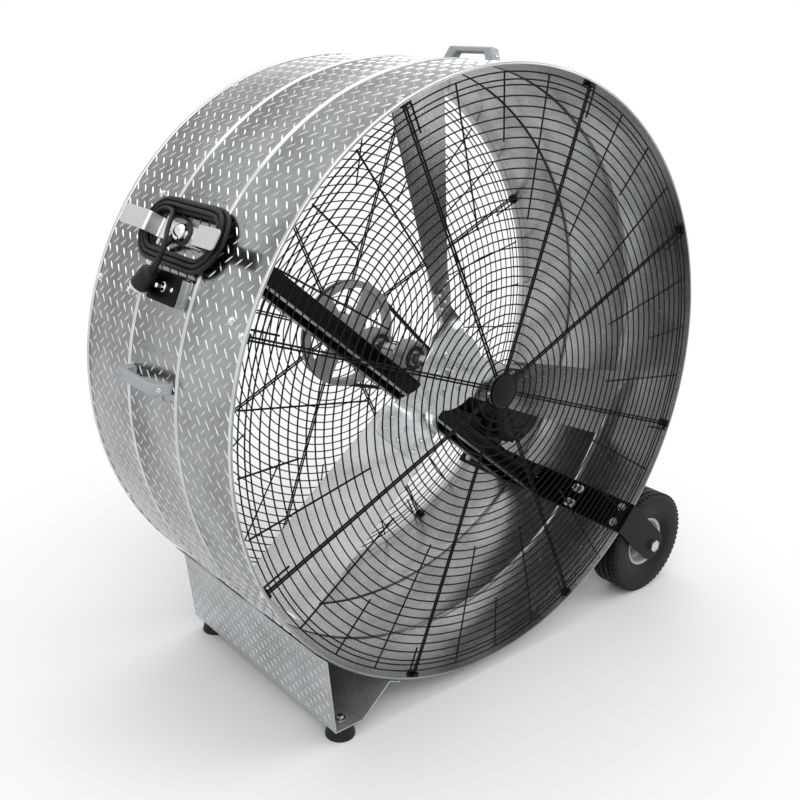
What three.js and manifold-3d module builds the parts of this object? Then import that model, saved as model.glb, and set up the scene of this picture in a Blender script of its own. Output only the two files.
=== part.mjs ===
// A wheeled drum fan: a sheet-metal drum with a wire guard at each end, a belt-driven fan on a
// crossbeam inside it, a wheel carriage under one side and a foot channel under the other.
// Millimetres, +Z up, the drum's axis along Y, the front guard towards -Y.
import * as THREE from "three";
import { mergeVertices } from "three/addons/utils/BufferGeometryUtils.js";
import Module from "manifold-3d";

const wasm = await Module();
wasm.setup();

// Clearances
const seatGap = 0.3; // between faces that rest on each other
const runningGap = 0.6; // between the belt and its grooves

// Drum
const drumRadius = 632.5; // outer face of the sheet
const drumSheet = 2.5;
const drumDepth = 562;
const drumSides = 64;
const hemRise = 2.5;
const hemWidth = 9;
const beadOffset = 92; // from mid depth to each raised bead
const beadWidth = 24;
const beadCrest = 12;
const beadRise = 4;

// Guards
const guardWire = 6; // front to back
const guardRingWidth = 5;
const guardRingInset = 10; // from the drum's inner face to the outermost ring
const guardRimPitch = 80;
const guardRingPitch = 94.5;
const guardSpokeWidth = 11;
const guardSpokes = 8;
const guardSpokeAngle = 25.2;
const guardHubRadius = 30;
const guardArcStep = 105;
const badgeRadius = 36;
const badgeHeight = 9;
const badgeBevel = 2.5;

// Crossbeam
const beamStrapAngle = 3.33; // between the rails and the line out through the wheel carriage's strap
const beamDrop = 36.5; // from the drum's axis down to the rails' top
const railSize = 38;
const railSpacing = 123;
const railPlateLength = 120;
const railPlateThickness = 5;
const pulleyRailGap = 108; // rear rail's middle to the belt's middle

// Fan rotor
const shaftRadius = 12.7;
const shaftFrontPast = 10; // past the spider's front face
const shaftRearPast = 9; // past the pulley's hub
const hubOverhang = 134; // front rail's middle to the blades' plane
const hubRadius = 32;
const hubFlangeRadius = 56;
const hubFlangeThickness = 8;
const hubLength = 38;
const spiderThickness = 5;
const spiderDiscRadius = 86;
const spiderFlatMargin = 6; // of the disc, past which the arms twist
const spiderTwistEnd = 140;
const spiderArmRadius = 205;
const spiderArmWidth = 110;
const spiderRootWidth = 92;
const bladeCount = 3;
const bladeAngle = 100.7;
const bladeSheet = 3;
const bladeRootRadius = 142;
const bladeTipGap = 25;
const bladeRootChord = 136;
const bladeTipChord = 174;
const bladeRootPitch = 39;
const bladeTipPitch = 11;
const bladeCamber = 8;
const bladeCorner = 18;
const bladeSteps = 4; // past the spider's arm

// Bearings
const bearingWidth = 38;
const bearingShoulder = 37;
const bearingBore = 27;
const bearingBaseLength = 140;
const bearingBaseHeight = 14;
const insertWidth = 34;

// Belt drive
const pulleyWidth = 22;
const pulleyGuardGap = 23;
const grooveDepth = 10;
const grooveTop = 14;
const grooveFloor = 10;
const drivenRadius = 129;
const drivenRim = 6; // under the groove
const drivenWeb = 10;
const drivenHubRadius = 30;
const drivenHubLength = 34;
const drivenHoleInner = 46;
const drivenHoleHalfAngle = 27;
const drivenHoles = 4;
const motorPulleyRadius = 38;
const motorPulleyHubRadius = 20;
const motorPulleyHubLength = 34;
const beltWidth = 9;
const beltHeight = 8;

// Motor
const motorAlongBeam = 361.8;
const motorShaftHeight = 88.9;
const motorRadius = 82;
const motorShellLength = 170;
const motorBellLength = 30;
const motorBellBevel = 16;
const motorRearGap = 60; // rear bell to the belt's middle
const motorShaftRadius = 7.94;
const motorShaftSeat = 18;
const motorShaftPast = 4;
const motorFootLength = 160;
const motorFootThickness = 4.5;
const motorSaddleHalf = 54;
const motorBaseDepth = 120;
const motorPlateLength = 176;
const motorPlateThickness = 4;
const motorBoxLength = 90;
const motorBoxWidth = 64;
const motorBoxHeight = 42;
const motorBoxAngle = 62;

// Wheel carriage
const carriageWidth = 79;
const carriageThickness = 5;
const carriageSag = 1.6; // the flat strap's middle from the curved wall
const tyreRadius = 133;
const tyreWidth = 80;
const tyreShoulder = 14;
const tyreDrumGap = 14.5;
const rimRadius = 64;
const rimWidth = 58;
const rimWell = 14;
const wheelHubRadius = 22;
const wheelHubLength = 94;
const bushWall = 3;
const axleRadius = 9.5;
const axleHeadRadius = 16;
const axleHeadHeight = 10;
const axleNutHeight = 8;
const spacerWall = 3.5;

// Foot channel
const footSheet = 2.5;
const footDrop = 1.5; // the channel's underside below the drum's lowest line
const footAngle = 31.5; // from straight down to the channel's middle
const footPlateWidth = 65;
const footFlangeAngle = 2.7;
const footLowAngle = -116.5;
const footHighAngle = -133.8;
const footRadius = 31;
const footTopRadius = 25;
const footHeight = 34.7;
const footInset = 33;

// Handles
const handleAngles = { handle_side: 173, handle_top: 77 };
const handleBeadGap = 1;
const handleHeight = 39;
const handleWidth = 22;
const handleGrip = 12;
const handleToe = 22;
const handleSlope = 14;

// Cord bracket
const bracketAngle = 148.6;
const bracketWidth = 38;
const bracketSheet = 3;
const bracketRise = 43;
const bracketFlap = 84;
const bracketFlapTilt = 6;
const bracketCorner = 7.5;

// Cord
const cordRadius = 4.5;
const cordSides = 8;
const glandRadius = 17;
const glandHeight = 22;
const glandDome = [
  [1, 0],
  [1, 0.46],
  [0.85, 0.76],
  [0.5, 0.93],
]; // shares of its radius and height
const glandSealRadius = 22;
const glandSealHeight = 3;
const glandNozzle = 5.3;
const glandReach = 18.5;
const glandHeading = 35; // the cord leaves the gland this far below the bracket's line
const coilStraight = 77; // from the bracket's middle to each end's centre
const coilRadius = 36; // innermost bend
const coilPitch = 9.6;
const coilRise = 9.6; // between the layers
const coilTurns = 5;
const coilBendSteps = 10;
const coilStraightSteps = 2;
const coilSides = 6;
const plugRadius = 17.75;
const plugLength = 43;
const plugNose = [
  [0.6, 0],
  [0.92, 0.1],
  [1, 0.2],
]; // shares of its radius and length
const plugFaceInset = 0.5;
const plugFaceLength = 5;
const prongLength = 17;
const prongWidth = 6.4;
const prongThickness = 1.6;
const prongSpacing = 12.7;
const groundPinRadius = 2.4;
const groundPinRise = 11.43; // from between the blades

// Switch
const switchAngle = 157.5;
const switchLength = 106;
const switchWidth = 56;
const switchHeight = 22;
const switchWall = 2;
const switchCover = 1.6;
const switchSlotLength = 14;
const switchSlotWidth = 9;
const toggleRadius = 3.4;
const toggleTipRadius = 4.4;
const toggleRise = 16; // past the cover
const togglePivot = 8; // below the cover's face
const toggleCrown = 1;
const roundedShare = 0.7; // of a radius, where a rounded end is cut to one bevel
const toggleThrow = 26; // degrees from one end to the other
const switchBodyLength = 60;
const switchBodyWidth = 30;

const rad = THREE.MathUtils.degToRad;
const fullTurn = Math.PI * 2;
const cutPast = 1; // how far a cutting tool runs past a face
const hexSides = 6;
const pinSides = 20;
const shaftSides = 24;
const wheelSides = 36;
const beltSteps = [30, 10]; // round the fan's pulley and the motor's
const weldDistance = 1e-3;

// Worked-out places
const halfDepth = drumDepth / 2;
const drumInner = drumRadius - drumSheet;
const beadTop = drumRadius + beadRise;
const beltY = halfDepth - guardWire - pulleyGuardGap - pulleyWidth / 2;
const railRearY = beltY - pulleyRailGap;
const railFrontY = railRearY - railSpacing;
const bladeY = railFrontY - hubOverhang;
const spiderOffset = bladeSheet / 2 + seatGap + spiderThickness / 2;
const bladeTipRadius = drumInner - bladeTipGap;
const motorRise = -beamDrop + seatGap + motorPlateThickness + seatGap + motorShaftHeight;
const motorRearY = beltY - motorRearGap;
const motorFrontY = motorRearY - motorShellLength - 2 * (motorBellLength + seatGap);
const groundDrop = drumRadius + footDrop + seatGap + footHeight;
const axleReach = beadTop + tyreDrumGap + tyreRadius;
const axleDrop = groundDrop - tyreRadius;
const axleAngle = -THREE.MathUtils.radToDeg(Math.asin(axleDrop / axleReach));
const beamAngle = -axleAngle - beamStrapAngle; // falls towards +X
const strapOuter = drumInner - carriageSag;
const strapInner = strapOuter - carriageThickness;
const bracketUnder = beadRise + seatGap;
const coilHeight = beadRise + seatGap + cordRadius;
const plugRest = seatGap + switchHeight + seatGap + switchCover + seatGap + plugRadius;

// Routes of the free cord on the wall: along the drum, down the wall, out from the wall
const leadRoute = [
  [28.7, 20.2, 14.8],
  [42.1, 29.5, 12],
  [51.5, 33.9, 9.8],
  [60, 35.9, 8.8],
  [63.5, 36, 8.8],
];
const tailRoute = [
  [63.5, -36, 18.4],
  [54, -33.4, 19.8],
  [42.5, -25.5, 23.5],
  [26, -9, 30],
  [9, 8, 36.5],
  [-5, 21.5, 40.5],
  [-13, 37, 42.8],
  [-13.6, 53, 43.2],
  [-7.2, 69.6, 42.6],
];
const plugBack = [-1, 77, plugRest];
const plugHeading = 50; // from the drum's length towards straight down the wall

function paint(color, roughness, metalness) {
  return new THREE.MeshStandardMaterial({ color, roughness, metalness });
}

const paints = {
  galvanised: paint(0x9aa0a3, 0.38, 0.85),
  plate: paint(0xaeb2b4, 0.35, 0.85),
  wire: paint(0x26282a, 0.5, 0.2),
  black: paint(0x141516, 0.35, 0.2),
  rubber: paint(0x17171a, 0.8, 0),
  grey: paint(0x6d7173, 0.55, 0.1),
  rim: paint(0xb9bcbb, 0.5, 0.1),
  steel: paint(0x8a8d90, 0.35, 0.9),
  iron: paint(0x77797b, 0.6, 0.4),
  chrome: paint(0xd5d8da, 0.15, 1),
  white: paint(0xe9e9e6, 0.5, 0),
};

// A closed geometry as a solid that can be joined and cut
function toSolid(geometry) {
  const bare = geometry.index ? geometry.toNonIndexed() : geometry;
  const points = new THREE.BufferGeometry();
  points.setAttribute("position", bare.getAttribute("position"));
  const merged = mergeVertices(points, weldDistance);
  const corners = merged.index.array;
  const kept = [];
  for (let i = 0; i < corners.length; i += 3) {
    const [a, b, c] = corners.slice(i, i + 3);
    if (a !== b && b !== c && c !== a) kept.push(a, b, c);
  }
  return new wasm.Manifold(
    new wasm.Mesh({
      numProp: 3,
      vertProperties: merged.getAttribute("position").array,
      triVerts: new Uint32Array(kept),
    }),
  );
}

function toGeometry(solid) {
  const mesh = solid.getMesh();
  const geometry = new THREE.BufferGeometry();
  geometry.setAttribute("position", new THREE.BufferAttribute(mesh.vertProperties, 3));
  geometry.setIndex(new THREE.BufferAttribute(mesh.triVerts, 1));
  const faceted = geometry.toNonIndexed();
  faceted.computeVertexNormals();
  return faceted;
}

function join(...geometries) {
  return toGeometry(geometries.map(toSolid).reduce((all, next) => all.add(next)));
}

function cut(geometry, ...tools) {
  return toGeometry(tools.map(toSolid).reduce((all, next) => all.subtract(next), toSolid(geometry)));
}

function mesh(name, geometry, material) {
  const piece = new THREE.Mesh(geometry, material);
  piece.name = name;
  return piece;
}

// A box between two corners
function block([x0, y0, z0], [x1, y1, z1]) {
  const geometry = new THREE.BoxGeometry(x1 - x0, y1 - y0, z1 - z0);
  return geometry.translate((x0 + x1) / 2, (y0 + y1) / 2, (z0 + z1) / 2);
}

function shapeOf(points) {
  return new THREE.Shape(points.map(([x, y]) => new THREE.Vector2(x, y)));
}

// An outline in X and Z carried from one Y to another
function slab(shape, front, rear) {
  const geometry = new THREE.ExtrudeGeometry(shape, { depth: rear - front, bevelEnabled: false });
  return geometry.rotateX(Math.PI / 2).translate(0, rear, 0);
}

// An outline in Y and Z carried across X, centred
function crossSlab(shape, width) {
  const geometry = new THREE.ExtrudeGeometry(shape, { depth: width, bevelEnabled: false });
  const turn = new THREE.Matrix4().makeBasis(
    new THREE.Vector3(0, 1, 0),
    new THREE.Vector3(0, 0, 1),
    new THREE.Vector3(1, 0, 0),
  );
  return geometry.translate(0, 0, -width / 2).applyMatrix4(turn);
}

// The radius whose flats, not corners, lie on the wanted circle
function aroundCircle(radius, sides) {
  return radius / Math.cos(Math.PI / sides);
}

// A profile of [radius, y] points turned about Y; it may start and end on the axis
function turned(profile, sides) {
  const onAxis = profile[0][0] === 0;
  const area = profile.reduce((sum, [r, y], i) => {
    const [nextR, nextY] = profile[(i + 1) % profile.length];
    return sum + r * nextY - nextR * y;
  }, 0);
  const ordered = area > 0 ? profile : [...profile].reverse();
  const closed = onAxis ? ordered : [...ordered, ordered[0]];
  const points = closed.map(([r, y]) => new THREE.Vector2(r, y));
  return new THREE.LatheGeometry(points, sides);
}

// A rod along Y
function rod(radius, front, rear, sides) {
  return turned([[0, front], [radius, front], [radius, rear], [0, rear]], sides);
}

// A tube along Y, its bore clear of a round thing of the inner radius
function tube(inner, outer, front, rear, sides) {
  const bore = aroundCircle(inner, sides);
  return turned([[bore, front], [outer, front], [outer, rear], [bore, rear]], sides);
}

function arcPoints(radius, from, to, steps, centre = [0, 0]) {
  return Array.from({ length: steps + 1 }, (_, i) => {
    const angle = from + ((to - from) * i) / steps;
    return [centre[0] + radius * Math.cos(angle), centre[1] + radius * Math.sin(angle)];
  });
}

// Sheet bent along a line of points, its thickness to the left of the line
function bentSheet(line, thickness) {
  const points = line.map(([x, y]) => new THREE.Vector2(x, y));
  const normals = points.slice(1).map((point, i) => {
    const along = point.clone().sub(points[i]).normalize();
    return new THREE.Vector2(-along.y, along.x);
  });
  const offset = points.map((point, i) => {
    const before = normals[Math.max(i - 1, 0)];
    const after = normals[Math.min(i, normals.length - 1)];
    const middle = before.clone().add(after).normalize();
    return point.clone().addScaledVector(middle, thickness / middle.dot(after));
  });
  return new THREE.Shape([...points, ...offset.reverse()]);
}

// A sheet lofted through sections; each section lists its front points and as many rear points
function loftedSheet(sections) {
  const across = sections[0].front.length;
  const corners = [];
  const put = (...points) => points.forEach((point) => corners.push(...point.toArray()));
  const quad = (a, b, c, d) => put(a, c, b, a, d, c);
  sections.slice(1).forEach((next, i) => {
    const last = sections[i];
    for (let j = 0; j < across - 1; j++) {
      quad(last.front[j], last.front[j + 1], next.front[j + 1], next.front[j]);
      quad(last.rear[j], next.rear[j], next.rear[j + 1], last.rear[j + 1]);
    }
    quad(last.rear[0], last.front[0], next.front[0], next.rear[0]);
    const edge = across - 1;
    quad(last.front[edge], last.rear[edge], next.rear[edge], next.front[edge]);
  });
  const first = sections[0];
  const end = sections[sections.length - 1];
  for (let j = 0; j < across - 1; j++) {
    quad(first.front[j + 1], first.front[j], first.rear[j], first.rear[j + 1]);
    quad(end.front[j], end.front[j + 1], end.rear[j + 1], end.rear[j]);
  }
  const geometry = new THREE.BufferGeometry();
  geometry.setAttribute("position", new THREE.Float32BufferAttribute(corners, 3));
  geometry.computeVertexNormals();
  return geometry;
}

// One tube through a list of sections' centres, each section square to its direction
function tubeThrough(centres, directions, radius, sides) {
  const rings = centres.map((centre, i) => {
    const along = directions[i];
    const out = new THREE.Vector3(-1, 0, 0).projectOnPlane(along).normalize();
    const side = along.clone().cross(out);
    return Array.from({ length: sides }, (_, k) => {
      const angle = (fullTurn * k) / sides;
      return centre
        .clone()
        .addScaledVector(out, radius * Math.cos(angle))
        .addScaledVector(side, radius * Math.sin(angle));
    });
  });
  const corners = [];
  const put = (...points) => points.forEach((point) => corners.push(...point.toArray()));
  rings.slice(1).forEach((next, i) => {
    const last = rings[i];
    for (let k = 0; k < sides; k++) {
      const m = (k + 1) % sides;
      put(last[k], last[m], next[m], last[k], next[m], next[k]);
    }
  });
  const first = rings[0];
  const end = rings[rings.length - 1];
  for (let k = 1; k < sides - 1; k++) {
    put(first[0], first[k + 1], first[k], end[0], end[k], end[k + 1]);
  }
  const geometry = new THREE.BufferGeometry();
  geometry.setAttribute("position", new THREE.Float32BufferAttribute(corners, 3));
  geometry.computeVertexNormals();
  return geometry;
}

// A frame on the wall: +Z out of the wall, +Y along the drum, +X up the drum's left side
function wallFrame(angle) {
  const frame = new THREE.Group();
  frame.rotation.y = rad(90 - angle);
  return frame;
}

// ---- Drum and guards

function drumShell() {
  const bead = (y) => [
    [drumRadius, y - beadWidth / 2],
    [beadTop, y - beadCrest / 2],
    [beadTop, y + beadCrest / 2],
    [drumRadius, y + beadWidth / 2],
  ];
  const hem = drumRadius + hemRise;
  const bore = aroundCircle(drumInner, drumSides);
  const profile = [
    [bore, -halfDepth],
    [hem, -halfDepth],
    [hem, -halfDepth + hemWidth],
    [drumRadius, -halfDepth + hemWidth],
    ...bead(-beadOffset),
    ...bead(beadOffset),
    [drumRadius, halfDepth - hemWidth],
    [hem, halfDepth - hemWidth],
    [hem, halfDepth],
    [bore, halfDepth],
  ];
  return turned(profile, drumSides);
}

function guardRings() {
  const rings = [drumInner - guardRingInset - guardRingWidth / 2];
  for (let r = rings[0] - guardRimPitch; r > guardHubRadius + guardRingPitch / 2; r -= guardRingPitch) {
    rings.push(r);
  }
  return rings;
}

// The gap between two rings and two spokes; a ring's two edges share their number of steps
function guardGap(ring, next, from, to) {
  const outer = ring - guardRingWidth / 2;
  const inner = next + guardRingWidth / 2;
  const outerTrim = Math.asin(guardSpokeWidth / 2 / outer);
  const innerTrim = Math.asin(guardSpokeWidth / 2 / inner);
  const path = [
    ...arcPoints(outer, from + outerTrim, to - outerTrim, guardSteps(ring)),
    ...arcPoints(inner, to - innerTrim, from + innerTrim, guardSteps(next)),
  ];
  return new THREE.Path(path.map(([x, y]) => new THREE.Vector2(x, y)));
}

function guardSteps(radius) {
  return Math.max(2, Math.round((fullTurn * radius) / guardSpokes / guardArcStep));
}

function guardPlate(front) {
  const rings = guardRings();
  const sector = fullTurn / guardSpokes;
  const rim = rings[0] + guardRingWidth / 2;
  const reach = drumInner - seatGap;
  const rimTrim = Math.asin(guardSpokeWidth / 2 / rim);
  const reachTrim = Math.asin(guardSpokeWidth / 2 / reach);
  const outline = [];
  const holes = [];
  for (let k = 0; k < guardSpokes; k++) {
    const from = rad(guardSpokeAngle) + k * sector;
    outline.push(...arcPoints(reach, from - reachTrim, from + reachTrim, 1));
    outline.push(...arcPoints(rim, from + rimTrim, from + sector - rimTrim, guardSteps(rings[0])));
    rings.forEach((ring, i) => {
      const next = i + 1 < rings.length ? rings[i + 1] : guardHubRadius;
      holes.push(guardGap(ring, next, from, from + sector));
    });
  }
  const shape = shapeOf(outline);
  shape.holes = holes;
  return slab(shape, front, front + guardWire);
}

function badge() {
  const rear = -halfDepth - seatGap;
  const front = rear - badgeHeight;
  const profile = [
    [0, rear],
    [badgeRadius, rear],
    [badgeRadius, front + badgeBevel],
    [badgeRadius - badgeBevel, front],
    [0, front],
  ];
  return turned(profile, 32);
}

// ---- Crossbeam; its frame has +X along the rails and +Z square to their top

// Its left end plates lie on the drum's wall and its right ones on the wheel carriage's strap
function rail(y) {
  const low = -beamDrop - railSize;
  const middle = -beamDrop - railSize / 2;
  const front = y - railSize / 2;
  const rear = y + railSize / 2;
  const wallReach = Math.sqrt(drumInner ** 2 - (railPlateLength / 2) ** 2) - seatGap;
  const ends = [
    { reach: wallReach, heading: Math.PI - Math.asin(middle / wallReach), length: railPlateLength },
    { reach: strapInner - seatGap, heading: -rad(beamStrapAngle), length: carriageWidth },
  ];
  const plates = ends.map(({ reach, heading, length }) => {
    const plate = block([reach - railPlateThickness, front, -length / 2], [reach, rear, length / 2]);
    return plate.rotateY(-heading);
  });
  const [left, right] = ends.map(
    ({ reach, heading }) =>
      (reach - railPlateThickness / 2 - middle * Math.sin(heading)) / Math.cos(heading),
  );
  return join(block([left, front, low], [right, rear, -beamDrop]), ...plates);
}

function bearingHousing(y) {
  const foot = -beamDrop + seatGap;
  const top = foot + bearingBaseHeight;
  const half = bearingBaseLength / 2;
  const start = Math.asin(top / bearingShoulder);
  const outline = [
    [-half, foot],
    [half, foot],
    [half, top],
    ...arcPoints(bearingShoulder, start, Math.PI - start, 14),
    [-half, top],
  ];
  const shape = shapeOf(outline);
  const bore = aroundCircle(bearingBore + seatGap, shaftSides);
  const hole = arcPoints(bore, fullTurn, fullTurn / shaftSides, shaftSides - 1);
  shape.holes = [new THREE.Path(hole.map(([x, z]) => new THREE.Vector2(x, z)))];
  return slab(shape, y - bearingWidth / 2, y + bearingWidth / 2);
}

function bearingInsert(y) {
  return tube(shaftRadius + seatGap, bearingBore, y - insertWidth / 2, y + insertWidth / 2, shaftSides);
}

// ---- Rotor

function bladePitch(r) {
  const share = (r - bladeRootRadius) / (bladeTipRadius - bladeRootRadius);
  return rad(bladeRootPitch + (bladeTipPitch - bladeRootPitch) * share);
}

// One section of a pitched sheet; +X is out along the blade, +Z the way of rising angle
function pitchedSection(r, pitch, stations, thickness, lift) {
  const along = new THREE.Vector3(0, -Math.sin(pitch), Math.cos(pitch));
  const normal = new THREE.Vector3(0, -Math.cos(pitch), -Math.sin(pitch));
  const point = (w, n) =>
    new THREE.Vector3(r, bladeY, 0).addScaledVector(along, w).addScaledVector(normal, n);
  return {
    front: stations.map((w) => point(w, lift(w) + thickness / 2)),
    rear: stations.map((w) => point(w, lift(w) - thickness / 2)),
  };
}

function blade() {
  const half = spiderArmWidth / 2;
  const span = bladeTipRadius - bladeRootRadius;
  const freeSpan = bladeTipRadius - bladeCorner - spiderArmRadius;
  const free = Array.from(
    { length: bladeSteps + 1 },
    (_, i) => spiderArmRadius + (freeSpan * i) / bladeSteps,
  );
  const radii = [bladeRootRadius, ...free];
  const chordAt = (r) =>
    bladeRootChord + ((bladeTipChord - bladeRootChord) * (r - bladeRootRadius)) / span;
  const section = (r, chord) => {
    const grow = THREE.MathUtils.clamp((r - spiderArmRadius) / span, 0, 1);
    const lift = (w) => -bladeCamber * grow * (1 - ((2 * w) / chord) ** 2);
    return pitchedSection(r, bladePitch(r), [-chord / 2, -half, half, chord / 2], bladeSheet, lift);
  };
  const sections = radii.map((r) => section(r, chordAt(r)));
  sections.push(section(bladeTipRadius, chordAt(bladeTipRadius) - 2 * bladeCorner));
  return loftedSheet(sections);
}

function spider() {
  const half = spiderArmWidth / 2;
  const rootHalf = spiderRootWidth / 2;
  const plate = () => spiderOffset;
  const widths = [
    [spiderDiscRadius / 2, 0, rootHalf],
    [spiderDiscRadius - spiderFlatMargin, 0, rootHalf],
    [(spiderDiscRadius + spiderTwistEnd) / 2, bladePitch(spiderTwistEnd) / 2, (half + rootHalf) / 2],
    [bladeRootRadius, bladePitch(bladeRootRadius), half],
    [spiderArmRadius, bladePitch(spiderArmRadius), half],
  ];
  const arms = Array.from({ length: bladeCount }, (_, k) => {
    const sections = widths.map(([r, pitch, side]) =>
      pitchedSection(r, pitch, [-side, side], spiderThickness, plate),
    );
    return loftedSheet(sections).rotateY(-rad(bladeAngle + (360 / bladeCount) * k));
  });
  const middle = bladeY - spiderOffset;
  const front = middle - spiderThickness / 2;
  const rear = middle + spiderThickness / 2;
  const disc = rod(spiderDiscRadius, front, rear, wheelSides);
  const hole = aroundCircle(shaftRadius + seatGap, shaftSides);
  const bore = rod(hole, front - cutPast, rear + cutPast, shaftSides);
  return cut(join(disc, ...arms), bore);
}

function shaftHub() {
  const front = bladeY - spiderOffset + spiderThickness / 2 + seatGap;
  const bore = aroundCircle(shaftRadius + seatGap, shaftSides);
  const profile = [
    [bore, front],
    [hubFlangeRadius, front],
    [hubFlangeRadius, front + hubFlangeThickness],
    [hubRadius, front + hubFlangeThickness],
    [hubRadius, front + hubLength],
    [bore, front + hubLength],
  ];
  return turned(profile, shaftSides);
}

function fanShaft() {
  const front = bladeY - spiderOffset - spiderThickness / 2 - shaftFrontPast;
  const rear = beltY + drivenHubLength / 2 + shaftRearPast;
  return rod(shaftRadius, front, rear, shaftSides);
}

function grooveProfile(radius, inner) {
  const half = pulleyWidth / 2;
  return [
    [inner, beltY - half],
    [radius, beltY - half],
    [radius, beltY - grooveTop / 2],
    [radius - grooveDepth, beltY - grooveFloor / 2],
    [radius - grooveDepth, beltY + grooveFloor / 2],
    [radius, beltY + grooveTop / 2],
    [radius, beltY + half],
    [inner, beltY + half],
  ];
}

function drivenPulley() {
  const rimInner = drivenRadius - grooveDepth - drivenRim;
  const rim = turned(grooveProfile(drivenRadius, rimInner), wheelSides);
  const web = shapeOf(arcPoints(rimInner + drivenRim / 2, 0, fullTurn, wheelSides).slice(1));
  const half = rad(drivenHoleHalfAngle);
  const holeOuter = rimInner - drivenRim;
  web.holes = Array.from({ length: drivenHoles }, (_, k) => {
    const middle = (fullTurn * k) / drivenHoles;
    const path = [
      ...arcPoints(holeOuter, middle - half, middle + half, 5),
      ...arcPoints(drivenHoleInner, middle + half / 2, middle - half / 2, 2),
    ];
    return new THREE.Path(path.map(([x, z]) => new THREE.Vector2(x, z)));
  });
  const webSlab = slab(web, beltY - drivenWeb / 2, beltY + drivenWeb / 2);
  const hub = rod(drivenHubRadius, beltY - drivenHubLength / 2, beltY + drivenHubLength / 2, shaftSides);
  const boreHalf = drivenHubLength / 2 + cutPast;
  const hole = aroundCircle(shaftRadius + seatGap, shaftSides);
  const bore = rod(hole, beltY - boreHalf, beltY + boreHalf, shaftSides);
  return cut(join(rim, webSlab, hub), bore);
}

// ---- Motor; its axis is along Y through the motor group's origin

function motorShell() {
  const front = motorFrontY + motorBellLength + seatGap;
  return rod(motorRadius, front, front + motorShellLength, wheelSides);
}

function motorBell(inner, outer) {
  const side = Math.sign(outer - inner);
  const profile = [
    [0, inner],
    [motorRadius, inner],
    [motorRadius, outer - side * motorBellBevel],
    [motorRadius - motorBellBevel, outer],
    [0, outer],
  ];
  return turned(profile, wheelSides);
}

function motorBellRear() {
  const bell = motorBell(motorRearY - motorBellLength, motorRearY);
  const bore = aroundCircle(motorShaftRadius + seatGap, pinSides);
  return cut(bell, rod(bore, motorRearY - motorShaftSeat, motorRearY + cutPast, pinSides));
}

function motorBase() {
  const foot = -motorShaftHeight;
  const top = foot + motorFootThickness;
  const half = motorFootLength / 2;
  const hug = motorRadius + seatGap;
    const start = -Math.PI + Math.acos(motorSaddleHalf / hug);
  const end = -Math.acos(motorSaddleHalf / hug);
  const outline = [
    [-half, foot],
    [half, foot],
    [half, top],
    [motorSaddleHalf, top],
    ...arcPoints(aroundCircle(hug, wheelSides), end, start, 10),
    [-motorSaddleHalf, top],
    [-half, top],
  ];
  const middle = motorFrontY + (motorRearY - motorFrontY) / 2;
  return slab(shapeOf(outline), middle - motorBaseDepth / 2, middle + motorBaseDepth / 2);
}

function motorBox() {
  const middle = motorFrontY + (motorRearY - motorFrontY) / 2;
  const low = motorRadius + seatGap;
  const box = block(
    [-motorBoxWidth / 2, middle - motorBoxLength / 2, low],
    [motorBoxWidth / 2, middle + motorBoxLength / 2, low + motorBoxHeight],
  );
  return box.rotateY(rad(motorBoxAngle));
}

function motorShaft() {
  const front = motorRearY - motorShaftSeat + seatGap;
  return rod(motorShaftRadius, front, beltY + motorPulleyHubLength / 2 + motorShaftPast, pinSides);
}

function motorPulley() {
  const bore = aroundCircle(motorShaftRadius + seatGap, pinSides);
  const wheel = turned(grooveProfile(motorPulleyRadius, bore), 28);
  const hubHalf = motorPulleyHubLength / 2;
  const hole = motorShaftRadius + seatGap;
  const hub = tube(hole, motorPulleyHubRadius, beltY - hubHalf, beltY + hubHalf, pinSides);
  return join(wheel, hub);
}

function motorPlate() {
  const low = -beamDrop + seatGap;
  const half = motorPlateLength / 2;
  return block(
    [motorAlongBeam - half, railFrontY - railSize / 2, low],
    [motorAlongBeam + half, railRearY + railSize / 2, low + motorPlateThickness],
  );
}

// The belt's loop at one depth in the grooves, round the fan pulley and the motor pulley
function beltLoop(depth, bigSteps, smallSteps, outside) {
  const bigRadius = drivenRadius - depth;
  const smallRadius = motorPulleyRadius - depth;
  const distance = Math.hypot(motorAlongBeam, motorRise);
  const heading = Math.atan2(motorRise, motorAlongBeam);
  const opening = Math.acos((bigRadius - smallRadius) / distance);
  const around = (radius, sweep, steps) => (outside ? radius : radius / Math.cos(sweep / steps / 2));
  const big = around(bigRadius, fullTurn - 2 * opening, bigSteps);
  const small = around(smallRadius, 2 * opening, smallSteps);
  return [
    ...arcPoints(big, heading + opening, heading + fullTurn - opening, bigSteps),
    ...arcPoints(small, heading - opening, heading + opening, smallSteps, [motorAlongBeam, motorRise]),
  ];
}

function driveBelt() {
  const floor = grooveDepth - runningGap;
  const shape = shapeOf(beltLoop(floor - beltHeight, ...beltSteps, true));
  const inside = beltLoop(floor, ...beltSteps, false).reverse();
  shape.holes = [new THREE.Path(inside.map(([x, z]) => new THREE.Vector2(x, z)))];
  return slab(shape, beltY - beltWidth / 2, beltY + beltWidth / 2);
}

// ---- Wheel carriage; its frame is on the wall at the axle's angle

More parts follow.
